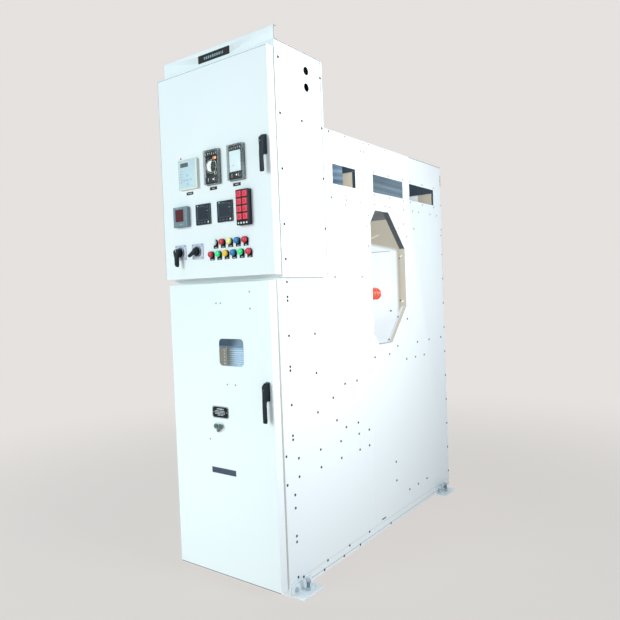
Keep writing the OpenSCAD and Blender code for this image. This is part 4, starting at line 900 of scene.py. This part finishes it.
def makeSwitches():
    p = Piece("switchPlates", lvFace)
    side = switches["plate"]
    for kind in ("control", "selector"):
        x, z = at = switches[kind]["at"]
        p.slab((x, z, side, side, 5), -4, 0, "lilacPlate", 0.8)
        for dx, dz in corners:
            p.turned([(2.6, -3.5), (2.6, -4.5), (0, -4.8)], (x + dx * 30, z + dz * 30), "darkPrint", 12)
        for angle in switches[kind]["marks"]:
            p.dashes(around(x, z, switches["marksAt"], angle), -4, (4.5,), "darkPrint", 2.0)
        p.hoop(at, 24, 6.1, -9, -3, "blackPlastic", 1.2)
        p.hoop(at, 27, 26, -4.2, -3.6, "darkPrint")
        p.block(at, 56, 56, 2, 92, "blackPlastic", 1.5)
        for n in range(4):
            for across in (-28, 28):
                p.block((x + across, z), 6, 16, 16 + n * 19, 26 + n * 19, "zincPlate", 0.6)
    p.done("lv_door", "black_plastic", "rotary_switches")

    g = Piece("controlGrip", lvFace)
    x, z = at = switches["control"]["at"]
    g.turned([(6, 16), (6, -12), (16, -10), (17, -12), (17, -30), (14.5, -33.5), (0, -34)], at, "handleBlack", 36)
    g.prism([(x + a, z + b) for a, b in switches["grip"]], -37, -20, "handleBlack", 3.2, back=True)
    g.slab((x - 0.6, z - 46, 10, 34, 4.5), -41, -34, "handleBlack", 2.2)
    g.block((x, z + 8.5), 2, 11, -37.4, -36.6, "whitePrint")
    g.done("control_grip", "black_plastic", "control_grip")

    k = Piece("selectorKnob", lvFace)
    x, z = at = switches["selector"]["at"]
    k.turned([(6, 16), (6, -12), (17, -10), (18, -12), (17.4, -22), (15.5, -25.5), (0, -26)], at, "handleBlack", 36)
    c, s = cos(radians(switches["leverTurn"])), sin(radians(switches["leverTurn"]))
    k.prism([(x + a * c - b * s, z + a * s + b * c) for a, b in switches["lever"]], -32, -20, "handleBlack", 2.4)
    k.done("selector_knob", "black_plastic", "selector_knob")


indicators = {
    "pitch": 46.4, "radius": 14.5, "body": 12, "dome": 21.5, "curved": 6,
    "rows": (((4, 1597), ("White", "Red", "Yellow", "Blue", "Red")),
             ((-22, 1544), ("Red", "Green", "Amber", "Blue", "Green", "Red"))),
    "dashes": ((4, 3, 4), (6, 3), (3, 5, 3)),
    "relayLabels": {"numerical": (3, 88, (6, 4, 6, 5)), "disc": (5, 95, (5, 6)), "plate": (7, 96, (6, 4, 6))},
}


def makeIndicators():
    p, tags = Piece("indicatorLamps", lvFace), Piece("labelPlates", lvFace)
    r, front, top, curved = (indicators[k] for k in ("radius", "body", "dome", "curved"))
    front, start = -front, curved - top
    angles = [n * pi / 10 for n in range(5)]
    lens = [((r - 0.4) * cos(a), start - curved * sin(a)) for a in angles]
    lens = [(r - 0.4, front + 1.5), *lens, (0, -top)]
    for (first, z), hues in indicators["rows"]:
        for k, hue in enumerate(hues):
            x = first + k * indicators["pitch"]
            p.turned([(11, 46), (11, 1), (r, 0), (r, front + 2), (r - 1, front + 0.6)], (x, z), "blackPlastic")
            p.turned(lens, (x, z), "lamp" + hue)
            low = [c for c in roundRect(x, z - 12, 30, 30, 1.5, 3) if c[1] < z - 2]
            tags.prism(low + [(x + 15, z - 2), (x - 15, z - 2)], -1, 0, "tagBlack", 0.2)
            tags.dashes((x, z - 22.5), -1, indicators["dashes"][k % 3], "whitePrint", 2.6, 1.6)
    for kind, (left, down, lengths) in indicators["relayLabels"].items():
        x, z = relayPlaces[kind][0] - left, relayPlaces[kind][1] - down
        tags.slab((x, z, 45, 14, 1), -1, 0, "tagBlack", 0.2)
        tags.dashes((x, z), -1, lengths, "whitePrint", 3.0, 1.8)
    p.done("lv_door", "lamp_plastic", "indicator_lamps")
    tags.done("lv_door", "black_plastic", "label_plates")


handles = {
    "lv_handle": ((322, 2000), lvFace, 127),  # place, the door's face, and the grip's reach below the shaft
    "breaker_handle": ((290, 936), bkFace, 143),
    "wide": 18, "stand": 34, "inside": -847,
}


def makeHandle(node):
    (x, z), face, drop = handles[node]
    wide, out, inside = handles["wide"], -handles["stand"], handles["inside"] - face
    p = Piece(node + "Lever", face)
    side = [(-0.5, 31), (out + 16, 31), (out + 2, 19), (out, 14), (out + 1.5, -20), (out, -48), (out, 3 - drop),
            (out + 3, -drop), (out + 10, -drop), (out + 12.5, 8 - drop), (out + 11, -62), (out + 14, -50), (-0.5, -47)]
    p.prism([(y, z + up) for y, up in side], x - wide / 2, x + wide / 2, "handleBlack", 2.2, "x", True)
    p.rim((x, z - 8, wide + 3, 84, 3), (x, z - 8, wide, 81, 2), -4, -0.4, "handleBlack", 0.6)
    p.turned([(5.6, out + 2), (5.6, out - 0.6), (4.4, out - 0.9), (0, out - 0.9)], (x, z + 2), "darkPrint", 20)
    # a painted highlight on the lever's front
    p.block((x, z + 2), 1, 6, out - 1, out - 0.5, "glintMetal")
    p.turned([(5, inside - 2), (5, -6), (0, -6)], (x, z), "zincPlate", 20)
    p.box((x - 9, x + 4.5), (inside - 6, inside - 2), (z - 4.5, z + 4.5), "zincPlate", 0.8)
    p.done(node, "black_plastic", node)


wingLock = {"at": (-15, 740), "lobes": 14}


def makeWingLock():
    p = Piece("wingLock", bkFace)
    x, z = at = wingLock["at"]
    p.turned([(8, 24), (8, -8), (0, -8)], at, "lockMetal", 24)
    p.turned([(15, -0.3), (15, -3), (12.5, -6), (0, -6.5)], at, "zincPlate")
    for lobe in (x - wingLock["lobes"], x + wingLock["lobes"]):
        p.turned([(11, -8), (12, -10), (12, -13.5), (9.5, -16), (0, -15)], (lobe, z + 6), "lockMetal", 28)
        p.turned([(3.2, -15.2), (2.4, -15.9), (0, -15.9)], (lobe, z + 6), "darkPrint", 16)
    p.slab((x, z - 8, 14, 24, 6), -16, -8, "lockMetal", 2.2)
    p.slab((x, z + 12, 18, 40, 6), 18, 23, "zincPlate", 0.8)
    p.done("wing_lock", "lock_metal", "wing_lock")


footBolt = {
    "thread": 6.4, "turns": 9, "from": 26, "lead": 2.7,
    "washer": (13, 8.2, 11), "across": 11.5, "nut": (11, 22), "head": 50,  # of the upright bolt
    "sheet": 328, "flatWasher": (12, 2.5), "hexagon": (10, 2.4, 10.5), "innerNut": (312, 303),  # of the level bolts
}


def makeFootBolts():
    p = Piece("footBolts")
    thread, (reach, near, far) = footBolt["thread"], footBolt["hexagon"]
    for low, high in spans("foot_bolts"):
        low, high = low / mm, high / mm
        x, y, z = (low + high) / 2
        if high.z - low.z > 40:  # an upright levelling bolt
            top = footBolt["head"]
            p.turned([(0, low.z), (thread, low.z + 0.5), (thread, top), (0, top + 1)], (x, y), "boltZinc", 18, "z")
            for k in range(footBolt["turns"]):
                at = footBolt["from"] + k * footBolt["lead"]
                p.hoop((x, y), thread + 0.9, thread - 0.3, at, at + 1.1, "boltShade", 0, 18, "z")
            p.rod((x, y), *footBolt["washer"], "boltPale", 32, "z")
            for d0, d1 in (footBolt["nut"], (top, high.z)):
                p.prism(ring(x, y, footBolt["across"], 6, 12), d0, d1, "boltZinc", 0.9, "z", True)
        else:  # a bolt through bracket and side sheet: washer, head, thread and nut
            side, face, end = copysign(1, x), footBolt["sheet"], min(abs(low.x), abs(high.x))
            wide, thick = footBolt["flatWasher"]
            p.rod((y, z), wide, side * face, side * (face + thick), "boltPale", 32, "x")
            p.prism(ring(y, z, reach, 6, 12), side * (face + near), side * (face + far), "boltZinc", 0.9, "x", True)
            p.rod((y, z), 6, side * (face - 2), side * end, "boltShade", 18, "x")
            p.prism(ring(y, z, reach, 6), *(side * at for at in footBolt["innerNut"]), "boltZinc", 0.6, "x", True)
    p.done("cubicle", "zinc", "foot_bolts")


doorTrim = {
    "plate": (-6, 811, 52, 27.5),  # middle and half sizes
    "rows": ((15, 8, 22, 6), (24, 9, 12, 10), (12, 20, 16, 6), (18, 6, 8)),
    "screws": ((-5, 1318), (23, 1318), (203, 1366), (203, 1291), (46, 944), (96, 944), (-81, 678)),
    "slot": (0, 534, 166, 40, 3),
}


def makeDoorTrim():
    p = Piece("breakerDoorTrim", bkFace)
    x, z, w, h = doorTrim["plate"]

    def notched(grow):
        return [point for sx, sz, start in ((1, 1, 270), (-1, 1, 0), (-1, -1, 90), (1, -1, 180))
                for point in ring(x + sx * (w - grow), z + sz * (h - grow), 5.5, 5, start, -90)]

    p.frame(notched(1.4), notched(2.8), -1.65, -1.3, "whitePrint")
    p.dashes((x, z + 15), -1.5, (4, 7, 20, 5), "whitePrint", 4.2, 2.2)
    for row, lengths in enumerate(doorTrim["rows"]):
        p.dashes((x - 3 + row % 2 * 2, z + 6 - row * 6.5), -1.5, lengths, "whitePrint", 2.4, 2.4)
    for dx in (-41, 41):
        p.turned([(2.2, -1.1), (2.2, -1.8), (0, -2)], (x + dx, z), "zincPlate", 14)
    for at in doorTrim["screws"]:
        p.turned([(3.6, 0.3), (3.3, -0.9), (1.6, -1.5), (0, -1.5)], at, "screwRim", 16)
    p.slab(doorTrim["slot"], 2.3, 4, "flapSlate", 0.3)  # flap behind the slot
    p.done("breaker_door", "black_plastic")


outline = {"wide": 1.3, "low": 2.6, "proud": 0.15}


def makeDoorOutline():  # shadow lines at the instrument door's left and upper edge and the breaker door's lower one
    p, q = Piece("doorOutline", lvFace), Piece("breakerDoorOutline", bkFace)
    wide, ys = outline["wide"], (-outline["proud"], 0.2)
    low, high = (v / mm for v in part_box("lv_door"))
    p.box((low.x + 2.4, low.x + 2.4 + wide), ys, (low.z + 3, high.z - 3), "innerShade")
    p.box((low.x + 3, 346), ys, (high.z - 2.6 - wide, high.z - 2.6), "innerShade")
    low, high = (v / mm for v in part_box("breaker_door"))
    q.box((low.x + 3, high.x - 3), ys, (low.z + 1, low.z + 1 + outline["low"]), "innerSlate")
    p.done("lv_door", "white_paint")
    q.done("breaker_door", "white_paint")


nameStrip = {"at": (-9, 2467), "face": -848.5, "high": 12, "gap": 5, "lengths": (7, 9, 8, 9, 10, 8, 9, 8, 4, 6)}


def makeNameStrip():
    p = Piece("nameStrip", nameStrip["face"])
    p.dashes(nameStrip["at"], 0, nameStrip["lengths"], "paleKey", nameStrip["high"], nameStrip["gap"])
    p.done("cubicle", "black_plastic")


seams = {  # strips on both sides: x of the sheet, y from and to, z from and to
    "innerSlate": ((350, -506, -502.5, 1428, 2444), (350, -845, -493, 2444.6, 2446.6),
                   (320, 460, 920, 2146.6, 2149.2), (320, 913.5, 920, 2026, 2098), (320, -838, 920, 18, 19.6)),
    "innerGrey": ((320, -838, 920, 52, 53.2), (320, 918, 920, 1250, 1720)),
    "blackPlastic": ((320, -9, 36, 65.5, 72),),
}


def makeSeams():
    p = Piece("sideSeams")
    for finish, strips in seams.items():
        for at, y0, y1, z0, z1 in strips:
            for side in (-1, 1):
                p.box(sorted((side * (at - 0.3), side * (at + 0.1))), (y0, y1), (z0, z1), finish)
    p.done("cubicle", "white_paint")


def scattered(name, places, facings):
    mesh = bpy.data.meshes.new(name)
    mesh.from_pydata([tuple(place) for place in places], [], [])
    layer = mesh.attributes.new("facing", "FLOAT_VECTOR", "POINT")
    layer.data.foreach_set("vector", [c for facing in facings for c in facing])
    return mesh


def grown(name, mesh, pattern, values, body, slot, *replaced):  # the pattern's result as a plain mesh
    obj = added(name, mesh)
    modifier = obj.modifiers.new(name, "NODES")
    modifier.node_group = pattern.tree
    for label, value in values.items():
        modifier[pattern.keys[label]] = value
    graph = bpy.context.evaluated_depsgraph_get()
    made = bpy.data.meshes.new_from_object(obj.evaluated_get(graph), preserve_all_data_layers=True, depsgraph=graph)
    obj.modifiers.remove(modifier)
    obj.data = made
    smoothed(made, sharp["grown"])
    return finished(obj, body, slot, *replaced)


bodyScrews = {"Radius": 0.0065, "Proud": 0.0034, "Seed": 11}


def screwPattern(name, rim, pan, mark):
    p = Pattern(name, **bodyScrews)
    radius, proud = p.given("Radius"), p.given("Proud")
    flange = p.painted(p.cone(18, radius, radius * 0.92, proud * 0.35), rim)
    head = p.painted(p.moved(p.cone(16, radius * 0.74, radius * 0.5, proud * 0.6), p.vector(0, 0, proud * 0.35)), pan)
    bar = p.node("GeometryNodeMeshCube", {0: p.vector(radius * 0.8, radius * 0.17, proud * 0.1)})
    cross = p.joined(bar, p.moved(bar, (0, 0, 0), Rotation=(0, 0, pi / 2)))
    cross = p.painted(p.moved(cross, p.vector(0, 0, proud * 0.94)), mark)
    chance = p.node("FunctionNodeRandomValue", {2: 0.0, 3: 6.28, 8: p.given("Seed")}, out=1, data_type="FLOAT")
    about = p.node("FunctionNodeAxisAngleToRotation", {0: (0, 0, 1), 1: chance})
    turn = p.node("FunctionNodeRotateRotation", {0: p.towards(), 1: about}, rotation_space="LOCAL")
    return p.ends(p.spread(p.given("Geometry"), p.joined(flange, head, cross), turn))


def makeBodyScrews(pattern):
    places, facings = [], []
    for low, high in spans("body_screws"):
        middle, reach = (low + high) / 2, high - low
        axis = min(range(3), key=lambda k: reach[k])
        way = 1 if middle[axis] > 0 else -1
        middle[axis] = low[axis] if way > 0 else high[axis]
        places.append(middle)
        facings.append([way if k == axis else 0 for k in range(3)])
    grown("bodyScrews", scattered("bodyScrews", places, facings), pattern, bodyScrews, "cubicle", "zinc", "body_screws")


insulator = {"Radius": 0.035, "Tall": 0.128, "Ribs": 4}
levelBelow = (0.13, 0.1)  # the largest Y and Z size, in metres, of those that lie along Y
grooveShadeRadius = 0.0292  # faces nearer to the axis than this get a darker epoxy: painted shade in the grooves between the ribs


def insulatorPattern():
    p = Pattern("insulator", **insulator)
    radius, tall = p.given("Radius"), p.given("Tall")
    share = p.node("GeometryNodeSplineParameter")
    wave = p.node("ShaderNodeMath", {0: share * p.given("Ribs") * (2 * pi)}, operation="COSINE")
    lobe = p.node("ShaderNodeMath", {0: 0.5 - wave * 0.5, 1: 0.7}, operation="POWER")
    tube = p.swept(p.vector(), p.vector(0, 0, tall), 72, 32, radius * (lobe * 0.32 + 0.68))
    ends = [p.moved(p.cone(24, radius * 0.5, radius * 0.5, 0.0012), p.vector(0, 0, at)) for at in (0.0, tall - 0.0012)]
    whole = p.joined(p.painted(tube, "redEpoxy"), p.painted(p.joined(*ends), "zincPlate"))
    return p.ends(p.spread(p.given("Geometry"), whole, p.towards()))


def makeInsulators(pattern):
    groups = {1: [], 2: []}  # those that lie along Y and those that hang along Z
    for low, high in spans("post_insulators"):
        reach, middle = high - low, (low + high) / 2
        axis = 1 if reach.y < levelBelow[0] and reach.z < levelBelow[1] else 2
        middle[axis] = high[axis]
        groups[axis].append((middle, high[axis] - low[axis]))
    for n, (axis, members) in enumerate(groups.items()):
        middles = [member[0] for member in members]
        facings = [[-1 if k == axis else 0 for k in range(3)]] * len(members)
        values = {**insulator, "Tall": members[0][1]}
        made = grown("postInsulators%d" % (n + 1), scattered("postInsulators", middles, facings), pattern, values,
                     "cubicle", "epoxy", *(() if n else ("post_insulators",)))
        # painted shade in the grooves between the ribs
        tinted(made, "brownEpoxy", lambda n, c: min(
            hypot(c.x - at.x, c[3 - axis] - at[3 - axis]) for at in middles) < grooveShadeRadius)
        for group in ("busbarRoom", "blocking"):
            litGroups[group].objects.link(made)


mechanism = {
    "ribs": {"Count": 10, "Wide": 0.444, "Rise": 0.0026, "Depth": 0.0064, "Pitch": 0.011},
    "ribsAt": (0, -0.6245, 1.0665),
    "sheet": (0, 755, 460, 650, 4), "ribbed": (3, 1021, 450, 117.6, 3), "panel": (0, 640, 260, 130, 6),
    "strip": (-257, 1020, 70, 116), "dots": (-238, 1064, 17),
    "windows": ((60, 660, "whitePrint"), (60, 620, "lampAmber")), "dashes": (-90, -60, 90),
    "screws": [(x, z) for x in (-218, 218) for z in (444, 600, 760, 920)],
}


def ribPattern():
    p = Pattern("ribs", **mechanism["ribs"])
    wide, rise = p.given("Wide"), p.given("Rise")
    bar = p.swept(p.vector(wide * -0.5), p.vector(wide * 0.5), 0, 14, rise)
    flat = p.node("GeometryNodeTransform", {"Geometry": bar, "Scale": p.vector(1, p.given("Depth") / rise, 1)})
    row = p.node("GeometryNodeMeshLine", {0: p.given("Count"), 3: p.vector(0, 0, p.given("Pitch") * -1)})
    return p.ends(p.moved(p.painted(p.spread(row, flat), "ribPale"), p.vector(*mechanism["ribsAt"])))


def makeMechanismCover():
    p = Piece("mechanismFront", -624)
    p.slab(mechanism["sheet"], 0, 2, "innerWhite", 0.6)
    # the backing between the ribs: painted shade
    p.slab(mechanism["ribbed"], -0.6, 0.2, "ribShade", 0.2)
    x, z, wide, high = mechanism["strip"]  # beside the ribs
    p.prism([(x + sx * wide / 2, z + sz * high / 2) for sx, sz in ((-1, -1), (1, -1), (1, 1), (-1, 1))], -1.4, 0.2,
            "coverStrip", 0.5)
    x, z, pitch = mechanism["dots"]
    for k in range(6):
        p.turned([(4.2, -1.8), (3.6, -3.4), (0, -3.8)], (x, z - pitch * k), "dotYellow", 16)
    p.slab(mechanism["panel"], -6, 0, "slatePlastic", 1.2)
    for x, z, finish in mechanism["windows"]:
        p.rim((x, z, 34, 20, 2), (x, z, 30, 16, 1.5), -6.6, -5.6, "darkPrint", 0.2)
        p.slab((x, z, 29, 15, 1), -6.2, -5.8, finish)
    for x in mechanism["dashes"]:
        p.dashes((x, 594), -6, (8, 5, 9), "whitePrint", 2.4)
    p.hoop((-60, 640), 17, 13.2, -6.9, -5.5, "glintMetal", 0.3, 32)
    for at in mechanism["screws"]:
        p.turned([(5, 0.2), (4.6, -1.6), (2, -2.4), (0, -2.4)], at, "screwRim", 16)
    litGroups["breakerRoom"].objects.link(p.done("truck", "galvanised", "mechanism_cover"))
    ribs = grown("mechanismRibs", scattered("mechanismRibs", [(0, 0, 0)], [(0, 0, 1)]), ribPattern(),
                 mechanism["ribs"], "truck", "galvanised")
    litGroups["breakerRoom"].objects.link(ribs)


def makeWindow():
    p = Piece("windowPane")
    low, high = (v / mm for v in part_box("window_pane"))
    p.slab(((low.x + high.x) / 2, (low.z + high.z) / 2, high.x - low.x, high.z - low.z, 26, 8), low.y, high.y,
           "paneGlass")
    p.done("breaker_door", "clear_plastic", "window_pane")


ductSheets = {  # a wall's face, then x, thickness, z, finish and soft edge of what the openings show on it: painted light and shade, the darkest finish as painted shadow where no light reaches, the pale one as painted light where it falls, the beige one as painted shade
    -57: ((90, 174, 3.5, 1824, 2110, "streakBlue", 0.4), (174, 238, 6, 1824, 2000, "innerBeige", 0.8),
          (238, 316, 9, 1824, 2012, "innerDark", 0.6), (176, 316, 12, 2000, 2110, "innerDark", 1.0)),
    415: ((60, 316, 4, 1824, 2110, "streakSlate", 0.6),),
    912: ((70, 92, 10, 1824, 2110, "innerSlate", 0.6), (92, 160, 5, 1824, 1983, "innerPale", 0.6),
          (160, 262, 8, 1824, 1983, "innerBeige", 0.6), (262, 306, 12, 1824, 2110, "innerDark", 0.6),
          (70, 306, 16, 1983, 2110, "innerDark", 1.0)),
}
slants = {"wall": 415, "tops": (2078, 2024, 1960), "fall": 95, "wide": 3, "across": (62, 316)}  # pale slanted strips


def makeDuctSheets():
    p = Piece("ductSheets")
    for wall, sheets in ductSheets.items():
        p.face = wall
        for x0, x1, thick, z0, z1, finish, soft in sheets:
            p.box((x0, x1), (-thick, -0.3), (z0, z1), finish, soft)
    p.face, fall, wide, (left, right) = (slants[key] for key in ("wall", "fall", "wide", "across"))
    for top in slants["tops"]:
        p.prism([(left, top), (right, top - fall), (right, top - fall - wide), (left, top - wide)], -7, -3,
                "streakBlue", 0.4)
    litGroups["ducts"].objects.link(p.done("cubicle", "galvanised"))


busbarRoom = {
    "wall": 391, "rim": 370,
    "shade": ((-316, 316), (-3, -0.2), (1778, 1818)), "line": ((75, 211), (-1.2, -0.2), (1582, 1584.5)),
    "bolts": ((263, 1644), (275, 1535), (271, 1278)), "glints": ((294, 1547), (294, 1275)),
    "studs": ((203, 1217, 5.5, "innerSlate"), (191, 1213, 5, "innerWhite")),
    "rimBolts": ((293, 308, 1184), (294, 188, 1059)),  # on the collar's slanted lower side
}


def makeBusbarRoom():
    p = Piece("busbarRoom", busbarRoom["wall"])
    p.box(*busbarRoom["shade"], "innerShade", 0.8)
    p.box(*busbarRoom["line"], "innerSlate", 0.2)
    for at in busbarRoom["bolts"]:
        p.turned([(5.5, -0.2), (5.5, -6), (3.6, -8), (0, -8)], at, "innerSlate", 6)
    for x, z, radius, finish in busbarRoom["studs"]:
        p.turned([(radius, -0.2), (radius, -5), (radius * 0.7, -6.5), (0, -6.5)], (x, z), finish, 18)
    p.face = busbarRoom["rim"]
    # painted glints on the collar's face
    for x, z in busbarRoom["glints"]:
        p.prism([(x - 8, z - 7), (x + 9, z), (x + 9, z + 7), (x - 8, z)], -1.5, -0.1, "whitePrint", 0.3)
    p.face = 0
    for x, y, z in busbarRoom["rimBolts"]:
        for side in (-1, 1):
            p.turned([(0, side * (x - 4)), (4.4, side * (x - 3)), (4.4, side * (x + 2)), (0, side * (x + 3.4))], (y, z),
                     "innerSlate", 14, "x")
    litGroups["busbarRoom"].objects.link(p.done("cubicle", "galvanised"))


chamber = {  # the rails' height, the devices' front, the first one's middle, their pitch and count
    "terminals": (1605, -566, -184.25, 13, 30),
    "breakers": (1855, -590, -181.2, 18, 10),
    "relays": (2105, -598, 35, 34, 5),
    "screws": {"Radius": 0.0032, "Proud": 0.0014, "Seed": 5},
    "ducts": {"lows": (1505, 1710, 1960, 2317), "high": 50, "front": -577, "half": 240, "pitch": 12.5},
    "slots": {"Wide": 0.0042, "High": 0.013},
}


def railPlaces(p, kind):  # x and z of each device on a rail, with the depths counted from its front
    z, p.face, first, pitch, count = chamber[kind]
    return [(first + k * pitch, z) for k in range(count)]


def makeChamberInside(screws):
    p, small = Piece("railDetails"), []
    for x, z in railPlaces(p, "terminals"):
        p.block((x, z), 9.2, 8, -0.6, 1, "whitePrint")
        small += [(x, p.face, z + rise) for rise in (-16, 16)]
    for x, z in railPlaces(p, "breakers"):
        p.block((x, z), 14, 36, -0.8, 1, "innerWhite", 0.4)
        p.box((x - 4, x + 4), (-7, 1), (z - 2, z + 9), "blackPlastic", 1.0)
        p.dashes((x, z - 10), -0.8, (6, 3), "greenPrint", 1.6, 1.2)
        small += [(x, p.face + 20, z + rise) for rise in (-31, 31)]
    for k, (x, z) in enumerate(railPlaces(p, "relays")):
        p.slab((x, z, 29.6, 71.6, 3), 0, 3, "blackPlastic", 1.0)
        p.slab((x, z + 4, 21, 38, 2), -0.6, 1, "slateGlass", 0.4)
        p.turned([(1.6, 1), (1.4, -0.8), (0, -1)], (x, z + 29), "lampGreen" if k % 2 else "lampRed", 12)
        p.dashes((x, z - 27), 0, (7, 4), "whitePrint", 1.6)
    p.done("cubicle", "pale_plastic")
    mesh = scattered("railScrews", [Vector(at) * mm for at in small], [(0, -1, 0)] * len(small))
    grown("railScrews", mesh, screws, chamber["screws"], "cubicle", "zinc")

    row = chamber["ducts"]
    places = [Vector((-row["half"] + k * row["pitch"], row["front"], z)) * mm for low in row["lows"]
              for k in range(int(2 * row["half"] / row["pitch"]) + 1) for z in (low + 9, low + row["high"] - 9)]
    slots = Pattern("ductSlots", **chamber["slots"])
    cut = slots.node("GeometryNodeMeshCube", {0: slots.vector(slots.given("Wide"), 0.0006, slots.given("High"))})
    slots.ends(slots.painted(slots.spread(slots.given("Geometry"), cut), "darkPrint"))
    mesh = scattered("ductSlots", places, [(0, -1, 0)] * len(places))
    grown("ductSlots", mesh, slots, chamber["slots"], "cubicle", "black_plastic")


makeNumericalRelay()
makeFlushRelays()
makeMeters()
makeAnnunciator()
makeSwitches()
makeIndicators()
makeHandle("lv_handle")
makeHandle("breaker_handle")
makeWingLock()
makeDoorTrim()
makeFootBolts()
makeDoorOutline()
makeNameStrip()
makeSeams()
print("instruments and door furniture made")

crossHead = screwPattern("crossHead", "screwRim", "screwDark", "darkPrint")
makeBodyScrews(crossHead)
makeInsulators(insulatorPattern())
makeMechanismCover()
makeWindow()
makeDuctSheets()
makeBusbarRoom()
makeChamberInside(crossHead)
print("screws, insulators and inner pieces made")
